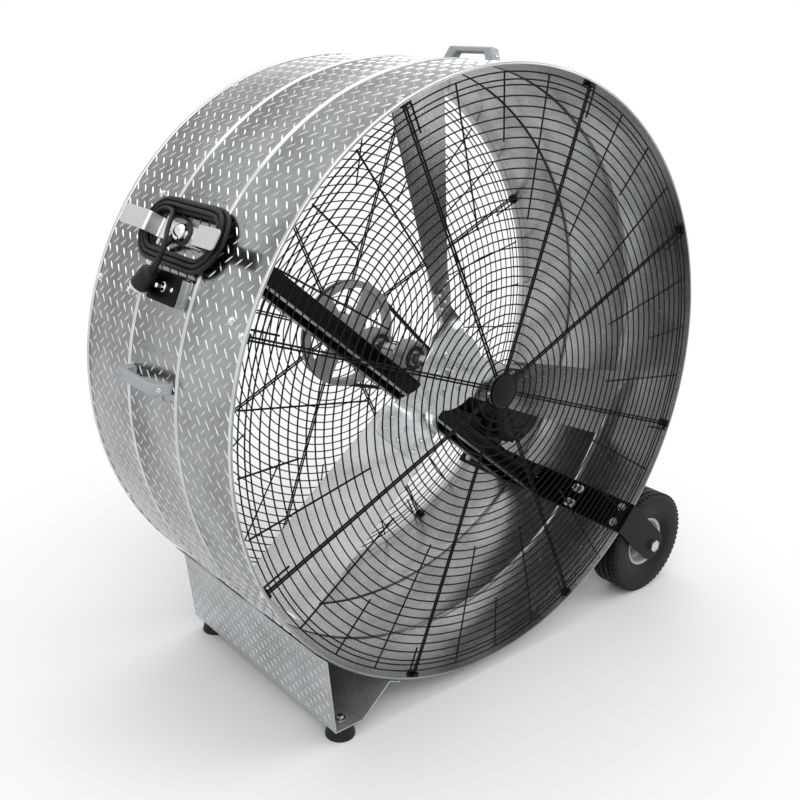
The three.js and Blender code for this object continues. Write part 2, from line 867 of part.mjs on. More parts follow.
function wheelBracket() {
  const half = carriageWidth / 2;
  const front = -halfDepth - seatGap;
  const hole = aroundCircle(axleRadius + seatGap, pinSides);
  const outline = [
    [-half, strapInner],
    [half, strapInner],
    ...arcPoints(half, 0, Math.PI, 12, [0, axleReach]),
  ];
  const cheek = () => {
    const shape = shapeOf(outline);
    const eye = arcPoints(hole, fullTurn, fullTurn / pinSides, pinSides - 1, [0, axleReach]);
    shape.holes = [new THREE.Path(eye.map(([x, z]) => new THREE.Vector2(x, z)))];
    return shape;
  };
  const strap = block([-half, front, strapInner], [half, -front, strapOuter]);
  const frontCheek = slab(cheek(), front - carriageThickness, front);
  const rearCheek = slab(cheek(), -front, -front + carriageThickness);
  return join(strap, frontCheek, rearCheek);
}

const cheekOuter = halfDepth + seatGap + carriageThickness;
const wheelMiddle = halfDepth - wheelHubLength / 2;

function axle() {
  const head = rod(axleHeadRadius, -cheekOuter - seatGap - axleHeadHeight, -cheekOuter - seatGap, hexSides);
  const inHead = -cheekOuter - seatGap - axleHeadHeight / 2;
  const pin = rod(axleRadius, inHead, cheekOuter + axleHeadHeight, pinSides);
  return join(head, pin);
}

function axleNut() {
  const hole = aroundCircle(axleRadius + seatGap, pinSides);
  const start = cheekOuter + seatGap;
  const nut = rod(axleHeadRadius, start, start + axleNutHeight, hexSides);
  return cut(nut, rod(hole, start - cutPast, start + axleHeadHeight, pinSides));
}

function tyre(y) {
  const half = tyreWidth / 2;
  const bore = aroundCircle(rimRadius + seatGap, wheelSides);
  const profile = [
    [bore, y - rimWidth / 2],
    [tyreRadius - 3 * tyreShoulder, y - half],
    [tyreRadius - tyreShoulder, y - half],
    [tyreRadius, y - half + tyreShoulder],
    [tyreRadius, y + half - tyreShoulder],
    [tyreRadius - tyreShoulder, y + half],
    [tyreRadius - 3 * tyreShoulder, y + half],
    [bore, y + rimWidth / 2],
  ];
  return turned(profile, wheelSides);
}

function wheelRim(y) {
  const bore = aroundCircle(axleRadius + bushWall + 2 * seatGap, shaftSides);
  const hubHalf = wheelHubLength / 2 - seatGap;
  const half = rimWidth / 2;
  const dish = rimRadius - rimWell;
  const profile = [
    [bore, y - hubHalf],
    [wheelHubRadius, y - hubHalf],
    [wheelHubRadius, y - half / 3],
    [dish, y - half / 3],
    [dish + rimWell / 2, y - half],
    [rimRadius, y - half],
    [rimRadius, y + half],
    [dish + rimWell / 2, y + half],
    [dish, y + half / 3],
    [wheelHubRadius, y + half / 3],
    [wheelHubRadius, y + hubHalf],
    [bore, y + hubHalf],
  ];
  return turned(profile, shaftSides);
}

function wheelBush(y) {
  const hubHalf = wheelHubLength / 2 - seatGap;
  return tube(axleRadius + seatGap, axleRadius + seatGap + bushWall, y - hubHalf, y + hubHalf, pinSides);
}

function axleSpacer() {
  const end = wheelMiddle - wheelHubLength / 2;
  return tube(axleRadius + seatGap, axleRadius + seatGap + spacerWall, -end, end, pinSides);
}

// ---- Foot channel, drawn in the drum's own X and Z

function footBracket() {
  const flangeRadius = aroundCircle(beadTop + seatGap, 180 / footFlangeAngle);
  const onDrum = (angle) => [flangeRadius * Math.cos(rad(angle)), flangeRadius * Math.sin(rad(angle))];
  const under = -drumRadius - footDrop + footSheet;
  const middle = -(drumRadius + footDrop) * Math.tan(rad(footAngle));
  const line = [
    onDrum(footLowAngle + footFlangeAngle),
    onDrum(footLowAngle),
    [middle + footPlateWidth / 2, under],
    [middle - footPlateWidth / 2, under],
    onDrum(footHighAngle),
    onDrum(footHighAngle - footFlangeAngle),
  ];
  return slab(bentSheet(line, footSheet), -halfDepth, halfDepth);
}

function foot() {
  const top = -drumRadius - footDrop - seatGap;
  const profile = [
    [0, 0],
    [footRadius, 0],
    [footTopRadius, footHeight],
    [0, footHeight],
  ];
  return turned(profile, 28).rotateX(Math.PI / 2).translate(0, 0, top - footHeight);
}

// ---- Pieces on the wall

function handle() {
  const half = beadOffset - beadWidth / 2 - handleBeadGap;
  const low = drumRadius + seatGap;
  const high = drumRadius + handleHeight;
  const under = high - handleGrip;
  const outline = [
    [-half, low],
    [-half + handleToe, low],
    [-half + handleToe + handleSlope, under],
    [half - handleToe - handleSlope, under],
    [half - handleToe, low],
    [half, low],
    [half, low + handleToe / 2],
    [half - handleSlope, high],
    [-half + handleSlope, high],
    [-half, low + handleToe / 2],
  ];
  return crossSlab(shapeOf(outline), handleWidth);
}

function cordBracket() {
  const under = drumRadius + bracketUnder;
  const top = drumRadius + bracketRise;
  const riser = beadOffset - 1;
  const half = [
    [riser - bracketCorner, under],
    [riser, under + bracketCorner],
    [riser, top - bracketCorner],
    [riser + bracketCorner, top],
    [riser + bracketFlap, top + bracketFlapTilt],
  ];
  const mirrored = half.map(([y, z]) => [-y, z]).reverse();
  return crossSlab(bentSheet([...mirrored, ...half], bracketSheet), bracketWidth);
}

const glandBase = drumRadius + bracketUnder + bracketSheet + seatGap;
const glandAxis = glandBase + glandSealHeight + seatGap + glandNozzle;

function cordGland() {
  const profile = [
    [0, 0],
    ...glandDome.map(([radius, height]) => [glandRadius * radius, glandHeight * height]),
    [0, glandHeight],
  ];
  const dome = turned(profile, pinSides).rotateX(Math.PI / 2).translate(0, 0, glandBase);
  const nozzle = rod(glandNozzle, 0, glandReach, 16);
  nozzle.rotateZ(rad(glandHeading)).translate(0, 0, glandAxis);
  return join(dome, nozzle);
}

function cordPoint([along, down, out]) {
  const angle = rad(bracketAngle) + down / drumRadius;
  const radius = drumRadius + out;
  return new THREE.Vector3(radius * Math.cos(angle), along, radius * Math.sin(angle));
}

function heightOverWall(radius) {
  return radius - drumRadius;
}

// The wound cord's middle line on the wall: out from the bracket, a layer up, and back in
function coilRoute() {
  const perTurn = 2 * (coilBendSteps + coilStraightSteps);
  const steps = coilTurns * perTurn + coilBendSteps;
  const turns = steps / perTurn;
  const climb = (turn) => THREE.MathUtils.smoothstep(turn, (turns - 0.5) / 2, (turns + 0.5) / 2);
  const route = [[coilStraight - 2 * cordRadius, coilRadius, coilHeight]];
  for (let i = 0; i <= steps; i++) {
    const turn = i / perTurn;
    const bend = coilRadius + coilPitch * (turns / 2 - Math.abs(turn - turns / 2));
    const step = i % perTurn;
    const height = coilHeight + coilRise * climb(turn);
    const onFirstBend = step <= coilBendSteps;
    const secondStart = coilBendSteps + coilStraightSteps;
    const onSecondBend = step >= secondStart && step <= secondStart + coilBendSteps;
    if (onFirstBend) {
      const angle = Math.PI / 2 - (Math.PI * step) / coilBendSteps;
      route.push([coilStraight + bend * Math.cos(angle), bend * Math.sin(angle), height]);
    } else if (onSecondBend) {
      const angle = -Math.PI / 2 - (Math.PI * (step - secondStart)) / coilBendSteps;
      route.push([-coilStraight + bend * Math.cos(angle), bend * Math.sin(angle), height]);
    } else {
      const onTop = step < secondStart;
      const passed = onTop ? step - coilBendSteps : step - secondStart - coilBendSteps;
      const along = coilStraight * (1 - (2 * passed) / coilStraightSteps);
      route.push([onTop ? along : -along, onTop ? -bend : bend, height]);
    }
  }
  route.push([coilStraight - 2 * cordRadius, -coilRadius, coilHeight + coilRise]);
  return route;
}

const coilCentres = coilRoute().map(cordPoint);
const coilDirections = coilCentres.map((_, i) => {
  const before = coilCentres[Math.max(i - 1, 0)];
  const after = coilCentres[Math.min(i + 1, coilCentres.length - 1)];
  return after.clone().sub(before).normalize();
});

function freeCord(route) {
  const curve = new THREE.CatmullRomCurve3(route.map(cordPoint), false, "centripetal");
  const steps = Math.ceil(curve.getLength() / (4 * cordRadius));
  const directions = Array.from({ length: steps + 1 }, (_, i) => curve.getTangentAt(i / steps));
  return tubeThrough(curve.getSpacedPoints(steps), directions, cordRadius, cordSides);
}

function cordLead() {
  const start = glandReach + seatGap;
  const heading = rad(glandHeading);
  const first = [start * Math.cos(heading), start * Math.sin(heading), heightOverWall(glandAxis)];
  const last = [coilStraight - 2 * cordRadius - seatGap, coilRadius, coilHeight];
  return freeCord([first, ...leadRoute, last]);
}

function cordTail() {
  const first = [coilStraight - 2 * cordRadius - seatGap, -coilRadius, coilHeight + coilRise];
  return freeCord([first, ...tailRoute, plugBack]);
}

// The plug's own frame: +Y out of its back towards its prongs
function plugFrame() {
  const frame = new THREE.Group();
  const back = cordPoint(plugBack);
  const heading = rad(plugHeading);
  const ahead = cordPoint([
    plugBack[0] + Math.cos(heading),
    plugBack[1] + Math.sin(heading),
    plugBack[2],
  ]);
  const along = ahead.sub(back).normalize();
  const out = new THREE.Vector3(back.x, 0, back.z).projectOnPlane(along).normalize();
  const across = along.clone().cross(out);
  frame.setRotationFromMatrix(new THREE.Matrix4().makeBasis(across, along, out));
  frame.position.copy(back);
  return frame;
}

function plugBody() {
  const profile = [
    [0, seatGap],
    [plugRadius * plugNose[0][0], seatGap],
    ...plugNose.slice(1).map(([radius, length]) => [plugRadius * radius, plugLength * length]),
    [plugRadius, plugLength],
    [0, plugLength],
  ];
  return turned(profile, shaftSides);
}

function plugFace() {
  const start = plugLength + seatGap;
  const end = start + plugFaceLength;
  const face = rod(plugRadius - plugFaceInset, start, end, shaftSides);
  const prong = (side) =>
    block(
      [side * (prongSpacing / 2) - prongThickness / 2, end - cutPast, -prongWidth / 2],
      [side * (prongSpacing / 2) + prongThickness / 2, end + prongLength, prongWidth / 2],
    );
  const pin = rod(groundPinRadius, end - cutPast, end + prongLength, pinSides / 2);
  pin.translate(0, 0, groundPinRise);
  return join(face, prong(-1), prong(1), pin);
}

// ---- Switch; its frame is on the wall, +Z out

const switchBase = drumRadius + seatGap;
const switchTop = switchBase + switchHeight;
const switchY = -(beadOffset - beadWidth / 2) + handleBeadGap + switchLength / 2;
const coverFace = switchTop + seatGap + switchCover;

function switchBox() {
  const half = switchWidth / 2;
  const end = switchLength / 2;
  const outer = block([-half, -end, switchBase], [half, end, switchTop]);
  const inner = block(
    [-half + switchWall, -end + switchWall, switchBase + switchWall],
    [half - switchWall, end - switchWall, switchTop + cutPast],
  );
  return cut(outer, inner);
}

function switchLid() {
  const half = switchWidth / 2;
  const end = switchLength / 2;
  const low = switchTop + seatGap;
  const plate = block([-half, -end, low], [half, end, coverFace]);
  const slot = block(
    [-switchSlotWidth / 2, -switchSlotLength / 2, low - cutPast],
    [switchSlotWidth / 2, switchSlotLength / 2, coverFace + cutPast],
  );
  return cut(plate, slot);
}

function switchBody() {
  const low = switchBase + switchWall + seatGap;
  const high = coverFace - togglePivot - toggleRadius - seatGap;
  return block(
    [-switchBodyWidth / 2, -switchBodyLength / 2, low],
    [switchBodyWidth / 2, switchBodyLength / 2, high],
  );
}

function switchToggle() {
  const pivot = coverFace - togglePivot;
  const top = coverFace + toggleRise - pivot;
  const profile = [
    [0, -toggleRadius],
    [toggleRadius * roundedShare, -toggleRadius * roundedShare],
    [toggleRadius, 0],
    [toggleRadius, togglePivot],
    [toggleTipRadius, top - toggleTipRadius],
    [toggleTipRadius * roundedShare, top - toggleCrown],
    [0, top],
  ];
  return turned(profile, 12).rotateX(Math.PI / 2);
}

// ---- Assembly

const drum = new THREE.Group();
drum.add(
  mesh("drum_shell", drumShell(), paints.galvanised),
  mesh("front_guard", guardPlate(-halfDepth), paints.wire),
  mesh("rear_guard", guardPlate(halfDepth - guardWire), paints.wire),
  mesh("guard_badge", badge(), paints.black),
  mesh("foot_bracket", footBracket(), paints.plate),
);

const feetX = -(drumRadius + footDrop) * Math.tan(rad(footAngle));
const feet = { foot_front: -halfDepth + footInset, foot_rear: halfDepth - footInset };
Object.entries(feet).forEach(([name, y]) => {
  const piece = mesh(name, foot(), paints.rubber);
  piece.position.set(feetX, y, 0);
  drum.add(piece);
});

const beam = new THREE.Group();
beam.rotation.y = rad(beamAngle);
beam.add(
  mesh("rail_front", rail(railFrontY), paints.black),
  mesh("rail_rear", rail(railRearY), paints.black),
  mesh("bearing_housing_front", bearingHousing(railFrontY), paints.iron),
  mesh("bearing_housing_rear", bearingHousing(railRearY), paints.iron),
  mesh("bearing_insert_front", bearingInsert(railFrontY), paints.steel),
  mesh("bearing_insert_rear", bearingInsert(railRearY), paints.steel),
  mesh("motor_plate", motorPlate(), paints.black),
  mesh("drive_belt", driveBelt(), paints.rubber),
);

const motor = new THREE.Group();
motor.position.set(motorAlongBeam, 0, motorRise);
motor.add(
  mesh("motor_shell", motorShell(), paints.black),
  mesh("motor_bell_front", motorBell(motorFrontY + motorBellLength, motorFrontY), paints.black),
  mesh("motor_bell_rear", motorBellRear(), paints.black),
  mesh("motor_base", motorBase(), paints.black),
  mesh("motor_box", motorBox(), paints.black),
  mesh("motor_shaft", motorShaft(), paints.steel),
  mesh("motor_pulley", motorPulley(), paints.iron),
);
beam.add(motor);
drum.add(beam);

const rotor = new THREE.Group();
rotor.add(
  mesh("fan_shaft", fanShaft(), paints.steel),
  mesh("shaft_hub", shaftHub(), paints.iron),
  mesh("blade_spider", spider(), paints.plate),
  mesh("driven_pulley", drivenPulley(), paints.grey),
);
for (let k = 0; k < bladeCount; k++) {
  const piece = mesh("blade_" + (k + 1), blade(), paints.galvanised);
  piece.rotation.y = -rad(bladeAngle + (360 / bladeCount) * k);
  rotor.add(piece);
}
drum.add(rotor);

const carriage = wallFrame(axleAngle);
carriage.add(mesh("wheel_bracket", wheelBracket(), paints.black));
const axleLine = new THREE.Group();
axleLine.position.z = axleReach;
axleLine.add(
  mesh("wheel_axle", axle(), paints.steel),
  mesh("axle_nut", axleNut(), paints.steel),
  mesh("axle_spacer", axleSpacer(), paints.black),
);
for (const [end, y] of [["front", -wheelMiddle], ["rear", wheelMiddle]]) {
  axleLine.add(
    mesh("tyre_" + end, tyre(y), paints.rubber),
    mesh("rim_" + end, wheelRim(y), paints.rim),
    mesh("wheel_bush_" + end, wheelBush(y), paints.steel),
  );
}
carriage.add(axleLine);
drum.add(carriage);

Object.entries(handleAngles).forEach(([name, angle]) => {
  const place = wallFrame(angle);
  place.add(mesh(name, handle(), paints.grey));
  drum.add(place);
});

const bracketPlace = wallFrame(bracketAngle);
const seal = tube(glandRadius + seatGap, glandSealRadius, 0, glandSealHeight, shaftSides);
seal.rotateX(Math.PI / 2).translate(0, 0, glandBase);
bracketPlace.add(
  mesh("cord_bracket", cordBracket(), paints.plate),
  mesh("cord_gland", cordGland(), paints.chrome),
  mesh("gland_seal", seal, paints.rubber),
);
drum.add(bracketPlace);

const cordPieces = [
  mesh("cord_lead", cordLead(), paints.rubber),
  mesh("cord_coil", tubeThrough(coilCentres, coilDirections, cordRadius, coilSides), paints.rubber),
  mesh("cord_tail", cordTail(), paints.rubber),
];
drum.add(...cordPieces);
const plug = plugFrame();
plug.add(mesh("plug_body", plugBody(), paints.rubber), mesh("plug_face", plugFace(), paints.white));
drum.add(plug);

const switchPlace = wallFrame(switchAngle);
switchPlace.position.y = switchY;
const toggle = mesh("switch_toggle", switchToggle(), paints.chrome);
toggle.position.z = coverFace - togglePivot;
toggle.rotation.x = -rad(toggleThrow / 2);
switchPlace.add(
  mesh("switch_box", switchBox(), paints.steel),
  mesh("switch_cover", switchLid(), paints.black),
  mesh("switch_body", switchBody(), paints.black),
  toggle,
);
drum.add(switchPlace);

// The origin goes under the middle of the fan's box, measured without the free cord
const withoutCord = new THREE.Box3();
drum.updateMatrixWorld(true);
drum.traverse((piece) => {
  const onCord = cordPieces.includes(piece) || piece.parent === plug;
  if (piece.isMesh && !onCord) withoutCord.expandByObject(piece, true);
});
const base = withoutCord.getCenter(new THREE.Vector3()).setZ(withoutCord.min.z);
drum.position.sub(base);

const fan = new THREE.Group();
fan.add(drum);

// The least gap between stretches of the coil that aren't neighbours along the cord
function coilGap() {
  const fine = new THREE.CatmullRomCurve3(coilCentres).getSpacedPoints(1400);
  const apart = 60;
  let least = Infinity;
  fine.forEach((point, i) => {
    for (let j = i + apart; j < fine.length; j++) {
      least = Math.min(least, point.distanceTo(fine[j]));
    }
  });
  return least - 2 * cordRadius;
}

console.log("coil's least gap to itself: " + coilGap().toFixed(2) + " mm");

export default fan;
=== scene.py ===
"""A wheeled drum fan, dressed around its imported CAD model.

Lengths in the making functions are millimetres from the middle of the drum's axis, with the
drum's axis along Y; place() turns them into metres in the row frame.
"""

from math import acos, asin, atan2, cos, hypot, pi, radians, sin, sqrt, tan

import bmesh
import bpy
from mathutils import Matrix, Vector


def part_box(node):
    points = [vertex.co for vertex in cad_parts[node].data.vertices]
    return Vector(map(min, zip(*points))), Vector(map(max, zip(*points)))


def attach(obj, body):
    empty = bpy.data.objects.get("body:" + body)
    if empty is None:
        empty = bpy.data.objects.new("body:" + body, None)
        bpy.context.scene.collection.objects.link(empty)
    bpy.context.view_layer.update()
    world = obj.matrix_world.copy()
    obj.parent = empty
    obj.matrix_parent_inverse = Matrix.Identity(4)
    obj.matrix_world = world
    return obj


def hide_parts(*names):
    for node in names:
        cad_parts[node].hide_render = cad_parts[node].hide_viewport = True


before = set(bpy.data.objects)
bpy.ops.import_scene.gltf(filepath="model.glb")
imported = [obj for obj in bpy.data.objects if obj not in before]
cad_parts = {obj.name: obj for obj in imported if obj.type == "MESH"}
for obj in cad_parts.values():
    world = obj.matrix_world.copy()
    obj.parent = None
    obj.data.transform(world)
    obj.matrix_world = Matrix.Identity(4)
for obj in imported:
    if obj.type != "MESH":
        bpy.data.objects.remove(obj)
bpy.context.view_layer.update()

MM = 0.001
TAU = 2 * pi
low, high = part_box("drum_shell")
CENTRE = (low + high) / 2

# Sizes shared with the CAD model, in millimetres
DRUM_R = 632.5
DRUM_SHEET = 2.5
DRUM_IN = DRUM_R - DRUM_SHEET
HALF_DEPTH = 281.0
GAP = 0.3
BEAD_Y = 92.0
BEAD_SHARP = 7.5
BEAD_RISE = 4.0
BEAM_ANGLE = radians(39.8)
BEAM_DROP = 36.5
RAIL_SIZE = 38.0
RAIL_YS = {"rail_front": 10.0, "rail_rear": 133.0}
BELT_Y = 241.0
BLADE_Y = -124.0
SHAFT_R = 12.7
MOTOR_X = 361.8
MOTOR_Z = 57.0
MOTOR_R = 82.0
AXLE_ANGLE = -43.13
AXLE_REACH = 784.0
CORD_R = 4.5
BRACKET_ANGLE = 148.6
SWITCH_ANGLE = 157.5
SWITCH_Y = -26.0
BORE_R = 13.1  # bores on the fan's shaft and on the axle
SPIDER_IN_FRONT = 4.3  # from the blades' middle plane to the spider's
ROTOR_ANGLE = 100.7  # the first blade's angle, in degrees
BLADE_ROOT = 142.0
BLADE_TIP = 605.0
BIG_SHEAVE_R = 129.0
SMALL_SHEAVE_R = 38.0
SHELL_LENGTH = 170.0
BELL_DEPTH = 30.3
STRAP = 5.0  # thickness of the wheel carriage's strap
STRAP_INNER = DRUM_IN - 1.6 - STRAP
FOOT_SHEET = 2.5
FOOT_TOP = -DRUM_R - 1.5  # the underside of the foot channel's floor
FOOT_FLAT = 32.5
FOOT_X = FOOT_TOP * tan(radians(31.5))
HANDLE_HALF = 79.0
SWITCH_FACE = 24.2

# ---- Frames, as 4 x 4 matrices in millimetres


def basis(x, y, z, origin=(0, 0, 0)):
    return Matrix(
        (
            (x[0], y[0], z[0], origin[0]), (x[1], y[1], z[1], origin[1]), (x[2], y[2], z[2], origin[2]),
            (0, 0, 0, 1),
        )
    )


def polar(r, a, y=0.0):
    """A point at a radius and an angle, in radians, about the Y axis."""
    return Vector((r * cos(a), y, r * sin(a)))


def wall(degrees, radius=0.0, along=0.0):
    """On the drum's wall: +Z out, +Y to the rear, origin on the axis or at a radius."""
    a = radians(degrees)
    out = polar(1, a)
    side = Vector((sin(a), 0, -cos(a)))
    return basis(side, (0, 1, 0), out, out * radius + Vector((0, along, 0)))


def spoke(degrees):
    """About the drum's axis: +X out, +Z the way of rising angle."""
    a = radians(degrees)
    return basis((cos(a), 0, sin(a)), (0, 1, 0), (-sin(a), 0, cos(a)))


def facing(point, normal):
    """At a point with +Z along a normal."""
    z = Vector(normal).normalized()
    x = z.orthogonal().normalized()
    return basis(x, z.cross(x), z, point)


BEAM = basis((cos(BEAM_ANGLE), 0, -sin(BEAM_ANGLE)), (0, 1, 0), (sin(BEAM_ANGLE), 0, cos(BEAM_ANGLE)))
MOTOR = BEAM @ Matrix.Translation((MOTOR_X, 0, MOTOR_Z))

# ---- Shapes: each is (points, faces)


def moved(shape, matrix):
    return [matrix @ Vector(p) for p in shape[0]], shape[1]


def joined(*shapes):
    points, faces = [], []
    for some, more in shapes:
        start = len(points)
        points += [Vector(p) for p in some]
        faces += [[i + start for i in face] for face in more]
    return points, faces


def loft(rings, loop=False, caps=True):
    """Skins closed rings of points; loop joins the last ring to the first."""
    n = len(rings[0])
    points = [p for ring in rings for p in ring]
    faces = []
    count = len(rings)
    for i in range(count if loop else count - 1):
        a, b = i * n, (i + 1) % count * n
        for j in range(n):
            k = (j + 1) % n
            faces.append([a + j, a + k, b + k, b + j])
    if caps and not loop:
        faces.append(list(range(n))[::-1])
        faces.append(list(range((count - 1) * n, count * n)))
    return points, faces


def lathe(profile, sides, loop=False):
    """Turns (radius, y) about the Y axis."""
    angles = [TAU * k / sides for k in range(sides)]
    return loft([[polar(r, a, y) for a in angles] for r, y in profile], loop)


UPRIGHT = Matrix.Rotation(pi / 2, 4, "X")


def spun(profile, sides, loop=False):
    """Turns (radius, z) about the Z axis."""
    return moved(lathe(profile, sides, loop), UPRIGHT)


def tube(line, radius, sides, loop=False):
    """A round tube along a line; radius is a number or one for each point."""
    line = [Vector(p) for p in line]
    n = len(line)
    radii = radius if isinstance(radius, list) else [radius] * n
    side = None
    rings = []
    for i, p in enumerate(line):
        before = line[(i - 1) % n] if loop or i > 0 else p
        after = line[(i + 1) % n] if loop or i < n - 1 else p
        ahead = (after - before).normalized()
        side = ahead.orthogonal() if side is None else side - ahead * side.dot(ahead)
        side.normalize()
        up = ahead.cross(side)
        rings.append(
            [
                p + (side * cos(TAU * k / sides) + up * sin(TAU * k / sides)) * radii[i]
                for k in range(sides)
            ]
        )
    return loft(rings, loop)


def ring(radius, y, wire, sides, steps):
    line = [polar(radius, TAU * k / steps, y) for k in range(steps)]
    return tube(line, wire, sides, loop=True)


def block(lo, hi, bevel=0.8, segments=2):
    """A box with rounded edges."""
    bm = bmesh.new()
    bmesh.ops.create_cube(bm, size=1)
    lo, hi = Vector(lo), Vector(hi)
    for v in bm.verts:
        v.co = Vector([lo[i] + (v.co[i] + 0.5) * (hi[i] - lo[i]) for i in range(3)])
    if bevel:
        bmesh.ops.bevel(
            bm, geom=bm.edges[:], offset=bevel, segments=segments, profile=0.5, affect="EDGES"
        )
    points = [v.co.copy() for v in bm.verts]
    faces = [[v.index for v in f.verts] for f in bm.faces]
    bm.free()
    return points, faces


def prism(outline, lo, hi):
    """An outline of (y, z) along X."""
    return loft([[Vector((x, y, z)) for y, z in outline] for x in (lo, hi)])


def chamfered(wide, thick, cut):
    """A rectangle with cut corners, from its half width and half thickness."""
    inner, low = wide - cut, thick - cut
    right = [(inner, thick), (wide, low), (wide, -low), (inner, -thick)]
    left = [(-inner, -thick), (-wide, -low), (-wide, low)]
    return [(-inner, thick), *right, *left]


def mirrored(half, middle):
    """(radius, distance) pairs as a profile on both sides of a middle plane."""
    near = [(r, middle - t) for r, t in half]
    return near + [(r, middle + t) for r, t in reversed(half)]


def arc(radius, start, end, steps, centre=(0, 0)):
    return [
        (
            centre[0] + radius * cos(start + (end - start) * i / steps),
            centre[1] + radius * sin(start + (end - start) * i / steps),
        )
        for i in range(steps + 1)
    ]


def rounded_rectangle(half_x, half_y, radius, steps=5):
    outline = []
    for k, (sx, sy) in enumerate(((1, 1), (-1, 1), (-1, -1), (1, -1))):
        centre = (sx * (half_x - radius), sy * (half_y - radius))
        outline += arc(radius, k * pi / 2, (k + 1) * pi / 2, steps, centre)
    return outline


SUNK = 0.2  # how far a bolt's or screw's foot reaches into what it stands on


def dome(radius, height, sides=16):
    """A round screw head on z = 0, straight for the first part of its height."""
    straight = 0.3
    profile = [(0, -SUNK), (radius, -SUNK), (radius, height * straight)]
    for i in range(1, 5):
        a = i * pi / 8
        profile.append((radius * cos(a), height * (straight + (1 - straight) * sin(a))))
    return spun(profile + [(0, height)], sides)


def hex_bolt(radius, height):
    """A hexagon head on a washer on z = 0."""
    foot = 1.4
    crown = height * 0.8
    head = [(0, foot), (radius, foot), (radius, crown), (radius * 0.86, height), (0, height)]
    wide = radius * 1.5
    washer = [(0, -SUNK), (wide, -SUNK), (wide, 1.1), (radius * 1.4, foot), (0, foot)]
    return joined(spun(washer, 20), spun(head, 6))


def on_wall(shape, degrees, along, radius=DRUM_R):
    return moved(shape, wall(degrees, radius, along))


# ---- Pieces


def place(point):
    return Vector(point) * MM + CENTRE


def shown(name, data):
    made = bpy.data.objects.new(name, data)
    bpy.context.scene.collection.objects.link(made)
    return made


def piece(name, shape, slot, body="root", sharp=38, replaces=(), weld=True, finish=None):
    """A mesh object in the row frame that rides on a body."""
    mesh = bpy.data.meshes.new(name)
    mesh.from_pydata([place(p) for p in shape[0]], [], shape[1])
    bm = bmesh.new()
    bm.from_mesh(mesh)
    if weld:
        bmesh.ops.remove_doubles(bm, verts=bm.verts, dist=2e-6)
    bmesh.ops.recalc_face_normals(bm, faces=bm.faces)
    bm.to_mesh(mesh)
    bm.free()
    mesh.polygons.foreach_set("use_smooth", [True] * len(mesh.polygons))
    mesh.set_sharp_from_angle(angle=radians(sharp))
    made = shown(name, mesh)
    finish_with(made, finish or slot)
    if replaces:
        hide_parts(*replaces)
    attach(made, body)
    return made


def round_edges(made, width):
    rounding = made.modifiers.new("edges", "BEVEL")
    rounding.width = width * MM
    rounding.segments = 2
    rounding.limit_method = "ANGLE"
    rounding.angle_limit = radians(35)
    rounding.harden_normals = False
    flat = made.modifiers.new("shading", "WEIGHTED_NORMAL")
    flat.keep_sharp = True


def dress(node, slot, bevel=0.0):
    """Gives a CAD node that stays its finish, and rounds its edges."""
    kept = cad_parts[node]
    finish_with(kept, slot)
    kept.data.polygons.foreach_set("use_smooth", [True] * len(kept.data.polygons))
    if bevel:
        welded = kept.modifiers.new("weld", "WELD")
        welded.merge_threshold = 1e-5
        round_edges(kept, bevel)


# ---- Materials

FINISHES = {}


def finish_with(made, slot):
    made.data.materials.clear()
    made.data.materials.append(FINISHES[slot])


def node(tree, kind, **inputs):
    made = tree.nodes.new("ShaderNode" + kind)
    for name, value in inputs.items():
        made.inputs[name.replace("_", " ")].default_value = value
    return made


def connect(source, output, target, socket):
    source.id_data.links.new(source.outputs[output], target.inputs[socket])


def material(
    slot, color, roughness, metallic=0.0, patch=18.0, patch_amount=0.1, rough_spread=0.08, grain=600.0,
    bump=0.0002, stretch=(1, 1, 1), specular=0.5, tint=None,
):
    """A finish whose colour drifts in patches, with a fine grain in its roughness and relief."""
    made = bpy.data.materials.new(slot)
    made.use_nodes = True
    tree = made.node_tree
    tree.nodes.clear()
    shader = node(tree, "BsdfPrincipled", Metallic=metallic, Specular_IOR_Level=specular)
    connect(shader, "BSDF", node(tree, "OutputMaterial"), "Surface")
    mapping = node(tree, "Mapping", Scale=stretch)
    connect(node(tree, "TexCoord"), "Object", mapping, "Vector")

    patches = node(tree, "TexNoise", Scale=patch, Detail=6.0, Roughness=0.6)
    connect(mapping, "Vector", patches, "Vector")
    ramp = node(tree, "ValToRGB")
    dark = [max(0.0, c * (1 - patch_amount)) for c in color]
    light = [min(1.0, c * (1 + patch_amount)) for c in (tint or color)]
    ramp.color_ramp.elements[0].position = 0.32
    ramp.color_ramp.elements[1].position = 0.68
    ramp.color_ramp.elements[0].color = (*dark, 1)
    ramp.color_ramp.elements[1].color = (*light, 1)
    connect(patches, "Fac", ramp, "Fac")
    connect(ramp, "Color", shader, "Base Color")

    fine = node(tree, "TexNoise", Scale=grain, Detail=4.0, Roughness=0.55)
    connect(mapping, "Vector", fine, "Vector")
    least = max(0.03, roughness - rough_spread)
    most = min(1.0, roughness + rough_spread)
    spread = node(tree, "MapRange", To_Min=least, To_Max=most)
    connect(fine, "Fac", spread, "Value")
    connect(spread, "Result", shader, "Roughness")
    relief = node(tree, "Bump", Strength=0.35, Distance=bump)
    connect(fine, "Fac", relief, "Height")
    connect(relief, "Normal", shader, "Normal")
    FINISHES[slot] = made


